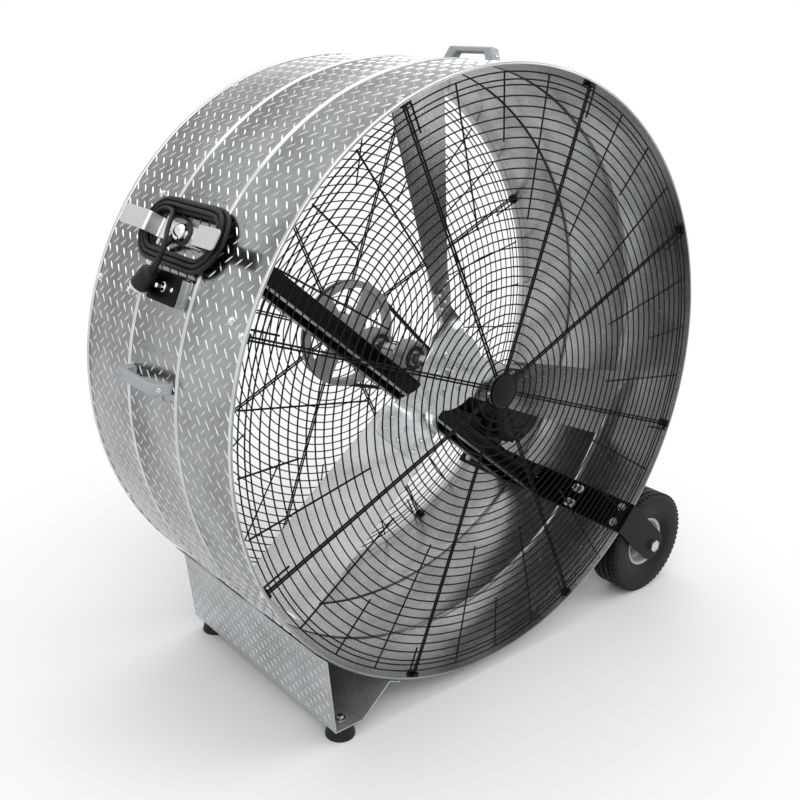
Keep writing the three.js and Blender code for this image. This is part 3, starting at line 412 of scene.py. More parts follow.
# The drum's steel drifts in large dark and light patches: these patches are painted reflections.
material(
    "drum_steel", (0.17, 0.177, 0.18), 0.2, metallic=1.0, patch=3.2, patch_amount=0.35,
    rough_spread=0.07, grain=45.0, bump=0.0014, tint=(0.27, 0.28, 0.285),
)
# A brighter copy of the drum's steel for its raised beads, hems and tread marks: painted highlight along
# the ridges.
material(
    "raised_highlight_steel", (0.60, 0.61, 0.615), 0.3, metallic=1.0, patch=12.0, patch_amount=0.15,
    rough_spread=0.1, grain=300.0, bump=0.0002,
)
# A lighter, less mirror-like copy of the drum's steel for its inside: painted light on the inner wall,
# with its patches as painted reflections.
material(
    "inner_lit_steel", (0.36, 0.37, 0.375), 0.24, metallic=0.92, patch=6.0, patch_amount=0.3,
    rough_spread=0.08, grain=60.0, bump=0.0008,
)
material(
    "guard_wire", (0.004, 0.004, 0.0045), 0.4, patch=30, patch_amount=0.25, bump=0.0001, specular=0.12,
)
material("badge_plastic", (0.004, 0.004, 0.0043), 0.3, patch=60, patch_amount=0.2, specular=0.12)
material(
    "foot_plate", (0.44, 0.45, 0.455), 0.28, metallic=0.6, patch=9, patch_amount=0.2, grain=90, bump=0.0006
)
material("foot_rubber", (0.008, 0.008, 0.008), 0.5, grain=900, bump=0.0001, specular=0.25)
material(
    "black_paint", (0.002, 0.002, 0.0022), 0.22, patch=25, patch_amount=0.3, grain=120, specular=0.12
)
material("bearing_iron", (0.36, 0.37, 0.38), 0.45, metallic=0.6, patch=60, grain=400, bump=0.0005)
material("bearing_steel", (0.42, 0.43, 0.44), 0.3, metallic=1.0, patch=80, grain=300)
material("belt_rubber", (0.012, 0.012, 0.012), 0.7, grain=1200, bump=0.0002)
material("motor_paint", (0.004, 0.004, 0.0043), 0.3, patch=40, patch_amount=0.3, specular=0.22)
material("shaft_steel", (0.55, 0.56, 0.57), 0.26, metallic=1.0, patch=90, grain=500, stretch=(1, 8, 1))
material("pulley_grey", (0.52, 0.525, 0.53), 0.45, metallic=0.1, patch=50, grain=350)
material(
    "spider_plate", (0.52, 0.54, 0.55), 0.22, metallic=1.0, patch=12, patch_amount=0.16, grain=160,
    bump=0.00008,
)
material(
    "blade_sheet", (0.56, 0.57, 0.58), 0.24, metallic=0.95, patch=6, patch_amount=0.16, grain=110,
    bump=0.0003,
)
material("tyre_rubber", (0.005, 0.005, 0.0053), 0.5, patch=35, patch_amount=0.3, grain=700, specular=0.2)
material("rim_plastic", (0.42, 0.43, 0.43), 0.5, patch=30, patch_amount=0.08, grain=500)
material("handle_plastic", (0.36, 0.37, 0.38), 0.5, patch=50, patch_amount=0.07, grain=700)
material(
    "bracket_plate", (0.58, 0.59, 0.60), 0.36, metallic=1.0, patch=40, patch_amount=0.06, grain=260,
    stretch=(1, 4, 1),
)
material("gland_chrome", (0.72, 0.73, 0.74), 0.1, metallic=1.0, patch=80, rough_spread=0.04)
material("seal_rubber", (0.012, 0.012, 0.012), 0.6, grain=900)
material(
    "cord_jacket", (0.012, 0.012, 0.013), 0.46, patch=40, patch_amount=0.25, grain=1500, specular=0.22
)
material(
    "plug_rubber", (0.014, 0.014, 0.015), 0.45, patch=60, patch_amount=0.2, grain=1500, specular=0.22
)
material("plug_face", (0.72, 0.72, 0.70), 0.35, patch=80, patch_amount=0.05, grain=900)
material("switch_steel", (0.58, 0.59, 0.60), 0.25, metallic=1.0, patch=40, grain=200, bump=0.0003)
material("switch_black", (0.002, 0.002, 0.0022), 0.3, patch=60, patch_amount=0.3, specular=0.05)
material("toggle_chrome", (0.75, 0.76, 0.77), 0.08, metallic=1.0, patch=90, rough_spread=0.03)

# ---- Camera

camera = shown("camera", bpy.data.cameras.new("camera"))
camera.data.lens = 45.74
camera.data.sensor_width = 36.0
camera.data.sensor_fit = "AUTO"
camera.data.clip_end = 60.0
eye = CENTRE + 0.635 * Vector((-2.228, -2.577, 1.0706))
ahead = Vector((0.6064, 0.7190, -0.3397)).normalized()
right = ahead.cross(Vector((0.2058, 0.2707, 0.9404))).normalized()
camera.matrix_world = basis(right, right.cross(ahead), -ahead, eye)
bpy.context.scene.camera = camera

# ---- Cord: points are (along the drum, down its wall, out of it), as in the CAD model

GLAND_AXIS = 16.2
GLAND_HEADING = radians(35)
PLUG_BACK = (-1.0, 77.0, 42.25)
PLUG_HEADING = radians(50)
COIL_STRAIGHT = 77.0
COIL_RADIUS = 36.0
COIL_PITCH = 9.6
COIL_RISE = 9.6
COIL_HEIGHT = 8.8
COIL_TURNS = 5
BEND_STEPS = 10
STRAIGHT_STEPS = 2
LEAD = [(28.7, 20.2, 14.8), (42.1, 29.5, 12.0), (51.5, 33.9, 9.8), (60.0, 35.9, 8.8)]
TAIL = [
    (54.0, -33.4, 19.8), (42.5, -25.5, 23.5), (26.0, -9.0, 30.0), (9.0, 8.0, 36.5), (-5.0, 21.5, 40.5),
    (-13.0, 37.0, 42.8), (-13.6, 53.0, 43.2), (-7.2, 69.6, 42.6),
]


def cord_point(point):
    along, down, out = point
    a = radians(BRACKET_ANGLE) + down / DRUM_R
    return polar(DRUM_R + out, a, along)


def smooth(x, a, b):
    t = min(max((x - a) / (b - a), 0.0), 1.0)
    return t * t * (3 - 2 * t)


def coil_route():
    per_turn = 2 * (BEND_STEPS + STRAIGHT_STEPS)
    steps = COIL_TURNS * per_turn + BEND_STEPS
    turns = steps / per_turn
    route = [(COIL_STRAIGHT - 2 * CORD_R, COIL_RADIUS, COIL_HEIGHT)]
    second = BEND_STEPS + STRAIGHT_STEPS
    for i in range(steps + 1):
        turn = i / per_turn
        bend = COIL_RADIUS + COIL_PITCH * (turns / 2 - abs(turn - turns / 2))
        step = i % per_turn
        height = COIL_HEIGHT + COIL_RISE * smooth(turn, (turns - 0.5) / 2, (turns + 0.5) / 2)
        if step <= BEND_STEPS:
            a = pi / 2 - pi * step / BEND_STEPS
            route.append((COIL_STRAIGHT + bend * cos(a), bend * sin(a), height))
        elif second <= step <= second + BEND_STEPS:
            a = -pi / 2 - pi * (step - second) / BEND_STEPS
            route.append((-COIL_STRAIGHT + bend * cos(a), bend * sin(a), height))
        else:
            on_top = step < second
            passed = step - BEND_STEPS if on_top else step - second - BEND_STEPS
            along = COIL_STRAIGHT * (1 - 2 * passed / STRAIGHT_STEPS)
            route.append((along if on_top else -along, -bend if on_top else bend, height))
    route.append((COIL_STRAIGHT - 2 * CORD_R, -COIL_RADIUS, COIL_HEIGHT + COIL_RISE))
    return route


def through(points, steps):
    """A centripetal curve through the points."""
    line = []
    n = len(points)
    for i in range(n - 1):
        p1, p2 = points[i], points[i + 1]
        p0 = points[i - 1] if i > 0 else p1 * 2 - p2
        p3 = points[i + 2] if i < n - 2 else p2 * 2 - p1
        t0, t1 = 0.0, sqrt((p1 - p0).length)
        t2 = t1 + sqrt((p2 - p1).length)
        t3 = t2 + sqrt((p3 - p2).length)
        for k in range(steps):
            t = t1 + (t2 - t1) * k / steps
            a1 = p0 * ((t1 - t) / (t1 - t0)) + p1 * ((t - t0) / (t1 - t0))
            a2 = p1 * ((t2 - t) / (t2 - t1)) + p2 * ((t - t1) / (t2 - t1))
            a3 = p2 * ((t3 - t) / (t3 - t2)) + p3 * ((t - t2) / (t3 - t2))
            b1 = a1 * ((t2 - t) / (t2 - t0)) + a2 * ((t - t0) / (t2 - t0))
            b2 = a2 * ((t3 - t) / (t3 - t1)) + a3 * ((t - t1) / (t3 - t1))
            line.append(b1 * ((t2 - t) / (t2 - t1)) + b2 * ((t - t1) / (t2 - t1)))
    line.append(points[-1])
    return line


gland_start = (18.8 * cos(GLAND_HEADING), 18.8 * sin(GLAND_HEADING), GLAND_AXIS)
route = [gland_start, *LEAD, *coil_route(), *TAIL, PLUG_BACK]
cord_line = through([cord_point(p) for p in route], 4)

curve = bpy.data.curves.new("supply_cord", "CURVE")
curve.dimensions = "3D"
curve.bevel_depth = CORD_R * MM
curve.bevel_resolution = 3
curve.use_fill_caps = True
spline = curve.splines.new("POLY")
spline.points.add(len(cord_line) - 1)
for target, p in zip(spline.points, cord_line):
    target.co = (*place(p), 1)
    target.radius = 1.0
spline.use_smooth = True
supply_cord = shown("supply_cord", curve)
curve.materials.append(FINISHES["cord_jacket"])
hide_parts("cord_lead", "cord_coil", "cord_tail")
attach(supply_cord, "root")


def stretch_of(line, length):
    """The first part of a line, so many millimetres long."""
    part = [line[0]]
    run = 0.0
    for a, b in zip(line, line[1:]):
        run += (b - a).length
        part.append(b)
        if run >= length:
            break
    return part


def relief(name, line, length, wide, narrow, ribs, slot):
    """A tapered, ribbed sleeve on the cord's first stretch."""
    part = through(stretch_of(line, length), 3)
    radii = []
    for i in range(len(part)):
        share = i / (len(part) - 1)
        rib = 0.35 * cos(TAU * ribs * share)
        radii.append(wide + (narrow - wide) * share + rib * (1 - share))
    return piece(name, tube(part, radii, 24), slot)


back = cord_point(PLUG_BACK)
front = cord_point((PLUG_BACK[0] + cos(PLUG_HEADING), PLUG_BACK[1] + sin(PLUG_HEADING), PLUG_BACK[2]))
plug_along = (front - back).normalized()
plug_out = Vector((back.x, 0, back.z))
plug_out = (plug_out - plug_along * plug_out.dot(plug_along)).normalized()
PLUG = basis(plug_along.cross(plug_out), plug_along, plug_out, back)


def plug_shell():
    profile = [(0, GAP), (8.5, GAP), (10.5, 1.2)]
    profile += [(15.8, 4.4), (16.9, 6.5), (17.5, 9.0)]
    for k in range(5):
        y = 12 + 4.6 * k
        profile += [(17.6, y), (16.9, y + 0.5), (16.9, y + 1.7), (17.6, y + 2.2)]
    profile += [(17.75, 36), (17.75, 42.4), (17.3, 43), (0, 43)]
    return lathe(profile, 48)


def plug_front():
    face = lathe([(0, 43.3), (16.6, 43.3), (17.2, 43.9), (17.2, 47.4), (16.4, 48.3), (0, 48.3)], 48)
    blades = [block((s * 6.35 - 0.8, 47, -3.2), (s * 6.35 + 0.8, 65.3, 3.2), 0.35) for s in (-1, 1)]
    pin = moved(
        lathe([(0, 47), (2.4, 47), (2.4, 63), (1.6, 65.3), (0, 65.3)], 16),
        Matrix.Translation((0, 0, 11.4)),
    )
    return face, joined(*blades, pin)


face, prongs = plug_front()
plug_body = piece("plug_shell", moved(plug_shell(), PLUG), "plug_rubber", replaces=["plug_body"])
plug_disc = piece("plug_insulator", moved(face, PLUG), "plug_face", replaces=["plug_face"])
plug_prongs = piece("plug_prongs", moved(prongs, PLUG), "toggle_chrome")
plug_relief = relief("plug_relief", cord_line[::-1], 26, 8.6, 5.1, 4, "plug_rubber")
relief("gland_relief", cord_line, 30, 7.6, 5.0, 5, "seal_rubber")

# ---- Drum


def bead(y):
    """How far the sheet is rolled out at a depth."""
    away = min(abs(abs(y) - BEAD_Y) / BEAD_SHARP, 1.0)
    return BEAD_RISE * 0.5 * (1 + cos(pi * away))


# The hem's section at the front edge: how far in from the edge, and out from the sheet
HEM = [(0, 0.1), (0.3, 1.5), (1.4, 2.4), (3.5, 2.5), (7.0, 2.5), (8.4, 2.1), (9.1, 1.1)]
HEM_END = 9.6
BARE_BAND = 1.2  # faces further out are beads and hems, which get the brighter copy of the steel as painted highlight, and faces further in are the inside, which gets the lighter copy as painted light


def drum_shell():
    mid = [side * BEAD_Y + BEAD_SHARP * (k / 6 - 1) for side in (-1, 1) for k in range(13)]
    plain = HALF_DEPTH - HEM_END
    stations = sorted([-plain, -190, 0, 190, plain] + mid)
    hem = [(-HALF_DEPTH + in_, DRUM_R + out) for in_, out in HEM]
    outer = [(r, y) for y, r in hem]
    outer += [(DRUM_R + bead(y), y) for y in stations]
    outer += [(r, -y) for y, r in reversed(hem)]
    lip = HALF_DEPTH - 0.3
    inner = [(DRUM_IN, lip)] + [(DRUM_IN + bead(y), y) for y in reversed(stations)]
    inner += [(DRUM_IN, -lip)]
    return lathe(outer + inner, 256, loop=True)


drum_body = piece("drum_body", drum_shell(), "drum_steel", sharp=50, replaces=["drum_shell"])
# Faces on the beads and hems get the brighter steel: painted highlight.
for slot in ("raised_highlight_steel", "inner_lit_steel"):
    drum_body.data.materials.append(FINISHES[slot])
# Faces on the inside get the lighter steel: painted light.
for face in drum_body.data.polygons:
    out = hypot(face.center.x - CENTRE.x, face.center.z - CENTRE.z) / MM
    if out > DRUM_R + BARE_BAND:
        face.material_index = 1
    elif out < DRUM_R - BARE_BAND:
        face.material_index = 2

LOZENGE = 23.0
LOZENGE_WIDTH = 3.8
LOZENGE_RISE = 1.5
TREAD_PITCH = 31.0
TREAD_RINGS = 17
TREAD_AROUND = 120


def lozenge(long=LOZENGE, wide=LOZENGE_WIDTH, rise=LOZENGE_RISE):
    """A raised tread mark along +X on z = 0."""
    a, b = long / 2, wide / 2
    points = [
        (-a, 0, -0.15), (-a * 0.35, -b, -0.15), (a * 0.35, -b, -0.15), (a, 0, -0.15),
        (a * 0.35, b, -0.15), (-a * 0.35, b, -0.15), (-a * 0.55, 0, rise), (a * 0.55, 0, rise),
    ]
    faces = [[0, 1, 6], [1, 2, 7, 6], [2, 3, 7], [3, 4, 7], [4, 5, 6, 7], [5, 0, 6], [5, 4, 3, 2, 1, 0]]
    return [Vector(p) for p in points], faces


def tread(side):
    """Tread marks round the drum: rings half a pitch apart, each leaning the other way."""
    shapes = []
    mark = lozenge()
    for j in range(-TREAD_RINGS, TREAD_RINGS + 1):
        y = TREAD_PITCH / 2 * j
        if abs(abs(y) - BEAD_Y) < BEAD_SHARP:
            continue
        lean = Matrix.Rotation(radians(45 if j % 2 else -45), 4, "Z")
        for i in range(TREAD_AROUND):
            degrees = 360 * (i + (j % 2) / 2) / TREAD_AROUND
            shapes.append(moved(mark, wall(degrees, side, y) @ lean))
    return joined(*shapes)


# The drum's tread marks get the brighter steel: painted highlight on their ridges.
piece("drum_tread", tread(DRUM_R), "drum_steel", sharp=60, weld=False, finish="raised_highlight_steel")

# ---- Guards

GUARD_SPOKE = 25.2  # the first spoke's angle, in degrees
GUARD_SPOKES = 8
GUARD_RIM = [617.5, 604.0, 594.0]
GUARD_RING = 575.0
GUARD_PITCH = 18.9
GUARD_HUB = 44.0
GUARD_SET_IN = 1.9  # from the drum's edge plane to the guard's middle
GUARD_BOW = 4.5  # and how much further in the wires lie at GUARD_R
GUARD_R = 620.0


def guard(front):
    """A wire guard; front is -1 for the front one and 1 for the rear one."""

    def plane(r):
        return front * (HALF_DEPTH - GUARD_SET_IN - GUARD_BOW * (r / GUARD_R) ** 2)

    radii = list(GUARD_RIM)
    r = GUARD_RING
    while r > GUARD_HUB + GUARD_PITCH / 2:
        radii.append(r)
        r -= GUARD_PITCH
    radii.append(GUARD_HUB)
    shapes = [ring(r, plane(r), 1.5, 6, max(40, int(r / 5))) for r in radii]

    def wire(angle, inner, outer, offset, thick=2.1, hook=False):
        """A radial wire behind the rings, its outer end bent back as a hook or straight."""
        out, side = polar(1, radians(angle)), polar(1, radians(angle + 90))
        behind = 3.2
        line = []
        for k in range(9):
            r = inner + (outer - inner) * k / 8
            line.append(out * r + side * offset + Vector((0, plane(r) - front * behind, 0)))
        if hook:
            end = line[-1]
            for t in [pi * k / 6 for k in range(1, 7)]:
                line.append(end + side * (6 - 6 * cos(t)) + out * (2.2 * sin(t)))
        shapes.append(tube(line, thick, 6))

    for k in range(GUARD_SPOKES):
        angle = GUARD_SPOKE + 360 / GUARD_SPOKES * k
        for offset in (-2.9, 2.9):
            wire(angle, 34, 626, offset)
        wire(angle, 566, 627, -15, hook=True)
        for part, inner in ((11.25, 344), (22.5, 493), (33.75, 344)):
            wire(angle + part, inner, 618, 0, 1.9)
    return joined(*shapes)


piece("front_guard_wires", guard(-1), "guard_wire", sharp=60, replaces=["front_guard"])
piece("rear_guard_wires", guard(1), "guard_wire", sharp=60, replaces=["rear_guard"])


def badge():
    rear = -HALF_DEPTH - GAP
    profile = [
        (0, rear), (36, rear), (36, rear - 5.5), (35.2, rear - 6.6), (33.4, rear - 6.9),
        (32.6, rear - 6.3), (32.2, rear - 6.3),
    ]
    for i in range(1, 7):
        r = 32.2 * (1 - i / 6)
        profile.append((r, rear - 6.3 - 2.4 * (1 - (r / 32.2) ** 2)))
    return lathe(profile, 64)


piece("badge_cap", badge(), "badge_plastic", replaces=["guard_badge"])
rim_profile = [(35.9, -285.0), (36.4, -285.6), (36.4, -287.4), (35.6, -288.5)]
rim_profile += [(34.0, -288.7), (33.4, -288.2), (33.4, -285.0)]
rim = lathe(rim_profile, 64, loop=True)
piece("badge_rim", rim, "badge_plastic")


def guard_fixings():
    """Bolts through the drum's wall at each main spoke, with the clip each one holds."""
    bolts, clips = [], []
    for k in range(GUARD_SPOKES):
        angle = GUARD_SPOKE + 360 / GUARD_SPOKES * k
        for y in (-267.0, 265.0):
            bolts.append(on_wall(hex_bolt(5.2, 5.2), angle, y))
            clip = block((-9, -11, -7.5), (9, 9, -0.4), 1.2)
            clips.append(moved(clip, wall(angle, DRUM_IN, y)))
    return joined(*bolts), joined(*clips)


WALL_BOLTS = [(142.7, 157.8), (154.5, 95.0), (158.6, -226.0)]
wall_bolts = [on_wall(hex_bolt(5.2, 5.2), angle, y) for angle, y in WALL_BOLTS]
piece("wall_bolts", joined(*wall_bolts), "toggle_chrome")
bolts, clips = guard_fixings()
piece("guard_bolts", bolts, "toggle_chrome")
piece("guard_clips", clips, "black_paint")

# ---- Crossbeam


def rail(y):
    """A square tube with rounded edges between its two end plates."""
    middle = -BEAM_DROP - RAIL_SIZE / 2
    reach_left = sqrt(DRUM_IN**2 - 60**2) - GAP
    ends = [
        (reach_left, pi - asin(middle / reach_left), 120.0),
        (STRAP_INNER - GAP, -radians(3.33), 79.0),
    ]
    shapes = []
    for reach, heading, length in ends:
        turn = Matrix.Rotation(-heading, 4, "Y")
        plate = block((reach - 5, y - 19, -length / 2), (reach, y + 19, length / 2), 1.0)
        shapes.append(moved(plate, turn))
        for z in (-length / 2 + 12, length / 2 - 12):
            bolt = moved(hex_bolt(6.5, 6.0), facing((reach - 5, y, z), (-1, 0, 0)))
            shapes.append(moved(bolt, turn))
    left, right_end = [
        (reach - 2.5 - middle * sin(heading)) / cos(heading)
        for reach, heading, length in ends
    ]
    outline = [(y + a, middle + b) for a, b in rounded_rectangle(RAIL_SIZE / 2, RAIL_SIZE / 2, 4.0)]
    shapes.append(prism(outline, left, right_end))
    return moved(joined(*shapes), BEAM)


for name, y in RAIL_YS.items():
    piece(name + "_tube", rail(y), "black_paint", replaces=[name])

for end, y in (("front", RAIL_YS["rail_front"]), ("rear", RAIL_YS["rail_rear"])):
    dress("bearing_housing_" + end, "bearing_iron", 1.6)
    dress("bearing_insert_" + end, "bearing_steel", 0.8)
    bolts = joined(
        *[
            moved(hex_bolt(8, 9), BEAM @ Matrix.Translation((x, y, -BEAM_DROP + GAP + 14)))
            for x in (-54, 54)
        ]
    )
    piece("bearing_bolts_" + end, bolts, "shaft_steel")
    seal = lathe(mirrored([(17.5, 18.4), (26.5, 18.4), (27.4, 17.2)], y), 48, loop=True)
    piece("bearing_seal_" + end, seal, "seal_rubber")
dress("motor_plate", "black_paint", 0.8)
dress("motor_base", "motor_paint", 0.8)

# ---- Rotor


def along_blade(r, at_root, at_tip):
    return at_root + (at_tip - at_root) * (r - BLADE_ROOT) / (BLADE_TIP - BLADE_ROOT)


def pitch(r):
    """A blade's slope at a radius, in radians."""
    return radians(along_blade(r, 39.0, 11.0))


def section(r, angle, stations, thickness, lift):
    """A closed section across a blade or arm, of points at stations from its middle line."""
    across = Vector((0, -sin(angle), cos(angle)))
    normal = Vector((0, -cos(angle), -sin(angle)))
    middle = Vector((r, BLADE_Y, 0))
    top = [middle + across * w + normal * (lift(w) + thickness / 2) for w in stations]
    under = [middle + across * w + normal * (lift(w) - thickness / 2) for w in stations]
    return top + under[::-1]


def blade():
    rings = []
    corner = 26.0
    radii = [BLADE_ROOT + 3 * k for k in range(4)] + [160 + 17.5 * k for k in range(24)]
    radii += [BLADE_TIP - corner * (1 - sin(pi / 2 * k / 6)) for k in range(1, 7)]
    for r in sorted(set(radii)):
        chord = along_blade(r, 136, 174)
        tip = max(0.0, (r - (BLADE_TIP - corner)) / corner)
        root = max(0.0, (154 - r) / 12)
        chord -= 2 * corner * (1 - sqrt(max(0.0, 1 - tip * tip)))
        chord -= 2 * 9 * (1 - sqrt(max(0.0, 1 - root * root)))
        grow = min(max((r - 205) / 463, 0.0), 1.0)

        def lift(w):
            return -8 * grow * (1 - (2 * w / max(chord, 1)) ** 2)

        stations = [chord * (k / 12 - 0.5) for k in range(13)]
        rings.append(section(r, pitch(r), stations, 3.0, lift))
    return loft(rings)


def spider():
    """A disc with three arms that twist into the blades' slope."""
    middle = BLADE_Y - SPIDER_IN_FRONT
    disc = mirrored([(BORE_R, 2.5), (85.3, 2.5), (86, 1.8)], middle)
    shapes = [lathe(disc, 96, loop=True)]
    for k in range(3):
        rings = []
        for i in range(25):
            r = 43 + 162 * i / 24
            twist = smooth(r, 82, 136)
            half = 46 + 9 * smooth(r, 86, 142)
            corner = max(0.0, (r - 193) / 12)
            half -= 12 * (1 - sqrt(max(0.0, 1 - corner * corner)))
            stations = [half * (s / 4 - 1) for s in range(9)]
            thick = 4.4 + 0.6 * smooth(r, 84, 100)
            slope = pitch(max(r, 130)) * twist
            rings.append(section(r, slope, stations, thick, lambda w: SPIDER_IN_FRONT))
        shapes.append(moved(loft(rings), spoke(ROTOR_ANGLE + 120 * k)))
    return joined(*shapes)


def rivets():
    shapes = []
    for k in range(3):
        for r in (160, 190):
            for w in (-40, 0, 40):
                a = pitch(r)
                across = Vector((0, -sin(a), cos(a)))
                normal = Vector((0, -cos(a), -sin(a)))
                point = Vector((r, BLADE_Y, 0)) + across * w + normal * 6.8
                head = moved(dome(5.5, 3.4), facing(point, normal))
                shapes.append(moved(head, spoke(ROTOR_ANGLE + 120 * k)))
    for k in range(6):
        a = TAU * k / 6
        point = (46 * cos(a), BLADE_Y - 6.8, 46 * sin(a))
        shapes.append(moved(hex_bolt(6.5, 6), facing(point, (0, -1, 0))))
    return joined(*shapes)


for k in range(3):
    made = moved(blade(), spoke(ROTOR_ANGLE + 120 * k))
    piece("blade_sheet_%d" % (k + 1), made, "blade_sheet", "rotor", replaces=["blade_%d" % (k + 1)])
piece("spider_plate", spider(), "spider_plate", "rotor", replaces=["blade_spider"])
piece("rotor_rivets", rivets(), "shaft_steel", "rotor")

hub_front = BLADE_Y - SPIDER_IN_FRONT + 2.5 + GAP
hub = lathe(
    [
        (BORE_R, hub_front), (55.2, hub_front), (56, hub_front + 0.8), (56, hub_front + 7.2),
        (55.2, hub_front + 8), (34, hub_front + 8), (32, hub_front + 10), (32, hub_front + 37),
        (31, hub_front + 38), (BORE_R, hub_front + 38),
    ],
    64, loop=True,
)
piece("hub_casting", hub, "bearing_iron", "rotor", replaces=["shaft_hub"])
shaft_front = BLADE_Y - SPIDER_IN_FRONT - 2.5 - 10
shaft_rear = BELT_Y + 17 + 9
shaft = lathe(
    [
        (0, shaft_front), (11.7, shaft_front), (SHAFT_R, shaft_front + 1), (SHAFT_R, shaft_rear - 1),
        (11.7, shaft_rear), (0, shaft_rear),
    ],
    48,
)
piece("shaft_bar", shaft, "shaft_steel", "rotor", replaces=["fan_shaft"])


def sheave(radius, inner):
    """A pulley's rim with its V groove."""
    half = [(inner, 11), (radius - 0.6, 11), (radius, 10.4), (radius, 7.6)]
    half += [(radius - 0.6, 7), (radius - 10, 5)]
    return mirrored(half, BELT_Y)


def driven_pulley():
    hub_half = [(BORE_R, 17), (29, 17), (30, 16), (46, 6)]
    shapes = [lathe(sheave(BIG_SHEAVE_R, 113), 128, loop=True)]
    shapes.append(lathe(mirrored(hub_half, BELT_Y), 64, loop=True))
    for k in range(4):
        rings = []
        for i in range(9):
            r = 40 + 75 * i / 8
            half = 22 + 12 * smooth(r, 55, 112) + 5 * smooth(r, 96, 115)
            edge = chamfered(half, 5, 1.5)
            rings.append([Vector((r, BELT_Y - t, z)) for z, t in edge])
        shapes.append(moved(loft(rings), spoke(45 + 90 * k)))
    return joined(*shapes)


piece("driven_sheave", driven_pulley(), "pulley_grey", "rotor", replaces=["driven_pulley"])
small = joined(
    lathe(sheave(SMALL_SHEAVE_R, 8.3), 64, loop=True),
    lathe(mirrored([(8.3, 17), (19.2, 17), (20, 16.2)], BELT_Y), 48, loop=True),
)
piece("motor_sheave", moved(small, MOTOR), "pulley_grey", "motor_rotor", replaces=["motor_pulley"])
dress("motor_shaft", "shaft_steel", 0.5)


def belt_line(depth, big_steps, small_steps):
    big, little = BIG_SHEAVE_R - depth, SMALL_SHEAVE_R - depth
    distance = hypot(MOTOR_X, MOTOR_Z)
    heading = atan2(MOTOR_Z, MOTOR_X)
    opening = acos((big - little) / distance)
    line = arc(big, heading + opening, heading + TAU - opening, big_steps)
    line += arc(little, heading - opening, heading + opening, small_steps, (MOTOR_X, MOTOR_Z))
    return line


def belt():
    outer = belt_line(1.4, 64, 28)
    inner = belt_line(9.4, 64, 28)
    rings = []
    for (ox, oz), (ix, iz) in zip(outer, inner):
        rings.append(
            [
                Vector((ox, BELT_Y - 4.5, oz)), Vector((ox, BELT_Y + 4.5, oz)),
                Vector((ix, BELT_Y + 3.4, iz)), Vector((ix, BELT_Y - 3.4, iz)),
            ]
        )
    return moved(loft(rings, loop=True), BEAM)


piece("vee_belt", belt(), "belt_rubber", sharp=50, replaces=["drive_belt"])

# ---- Motor

MOTOR_REAR = BELT_Y - 60
MOTOR_FRONT = MOTOR_REAR - SHELL_LENGTH - 2 * BELL_DEPTH


def motor_shell():
    r = MOTOR_R
    start = MOTOR_FRONT + BELL_DEPTH
    profile = [(0, start), (r - 1.5, start), (r, start + 1.5)]
    for y in (start + 8, start + 158):
        profile += [(r, y), (r - 1, y + 0.6), (r - 1, y + 3.4), (r, y + 4)]
    end = start + SHELL_LENGTH
    profile += [(r, end - 1.5), (r - 1.5, end), (0, end)]
    return lathe(profile, 96)


def motor_bell(inner, outer):
    """An end bell with a ring of air slots between ribs."""
    way = 1 if outer > inner else -1
    profile = [
        (0, inner), (MOTOR_R - 1.5, inner), (MOTOR_R, inner + way * 1.0), (MOTOR_R, inner + way * 5),
        (76, inner + way * 5.6), (76, inner + way * 14), (78, inner + way * 15), (74, outer - way * 7),
        (66, outer), (40, outer), (38, outer - way * 3), (0, outer - way * 3),
    ]
    shapes = [lathe(profile, 96)]
    near, far = sorted((inner + way * 4.5, inner + way * 18))
    for k in range(24):
        rib = block((74, near, -2.6), (MOTOR_R - 0.4, far, 2.6), 0.8)
        shapes.append(moved(rib, spoke(15 * k)))
    for k in range(4):
        bolt = moved(hex_bolt(5.5, 5), facing((62, outer - way * 1.2, 0), (0, way, 0)))
        shapes.append(moved(bolt, spoke(45 + 90 * k)))
    return joined(*shapes)


piece("motor_body", moved(motor_shell(), MOTOR), "motor_paint", replaces=["motor_shell"])
bell = motor_bell(MOTOR_FRONT + 30, MOTOR_FRONT)
piece("motor_end_front", moved(bell, MOTOR), "motor_paint", replaces=["motor_bell_front"])
bell = motor_bell(MOTOR_REAR - 30, MOTOR_REAR)
piece("motor_end_rear", moved(bell, MOTOR), "motor_paint", replaces=["motor_bell_rear"])


def motor_box():
    middle = (MOTOR_FRONT + MOTOR_REAR) / 2
    foot = MOTOR_R + GAP
    turn = Matrix.Rotation(radians(62), 4, "Y")
    lid = block((-32, middle - 45, foot + 34), (32, middle + 45, foot + 42), 3.0, 3)
    body = block((-31, middle - 44, foot), (31, middle + 44, foot + 35), 4.0, 3)
    screws = [
        moved(dome(3.2, 1.2, 12), Matrix.Translation((x, middle + y, foot + 41.2)))
        for x in (-25, 25)
        for y in (-38, 38)
    ]
    return moved(joined(body, lid, *screws), MOTOR @ turn)


piece("terminal_box", motor_box(), "motor_paint", replaces=["motor_box"])

# ---- Wheels


def tyre(y):
    """A tyre's section with three grooves round its tread."""
    half = [(64.3, 29), (70, 30.5), (80, 37), (91, 40), (112, 40)]
    for i in range(7):
        a = pi / 2 * i / 6
        half.append((119 + 13 * sin(a), 40 - 13 * (1 - cos(a))))
    half += [(132.8, 21), (129.2, 20.2), (129.2, 15.8), (132.8, 15), (132.8, 3), (129.2, 2.2)]
    return lathe(mirrored(half, y), 128, loop=True)


def tyre_blocks(y):
    """Small raised lugs round the tread's shoulders."""
    shapes = []
    for k in range(60):
        for side in (-1, 1):
            middle = y + side * 31
            lug = block((127.5, middle - 5.5, -4.6), (133.0, middle + 5.5, 4.6), 1.2)
            shapes.append(moved(lug, spoke(6 * k + (3 if side > 0 else 0))))
    return joined(*shapes)


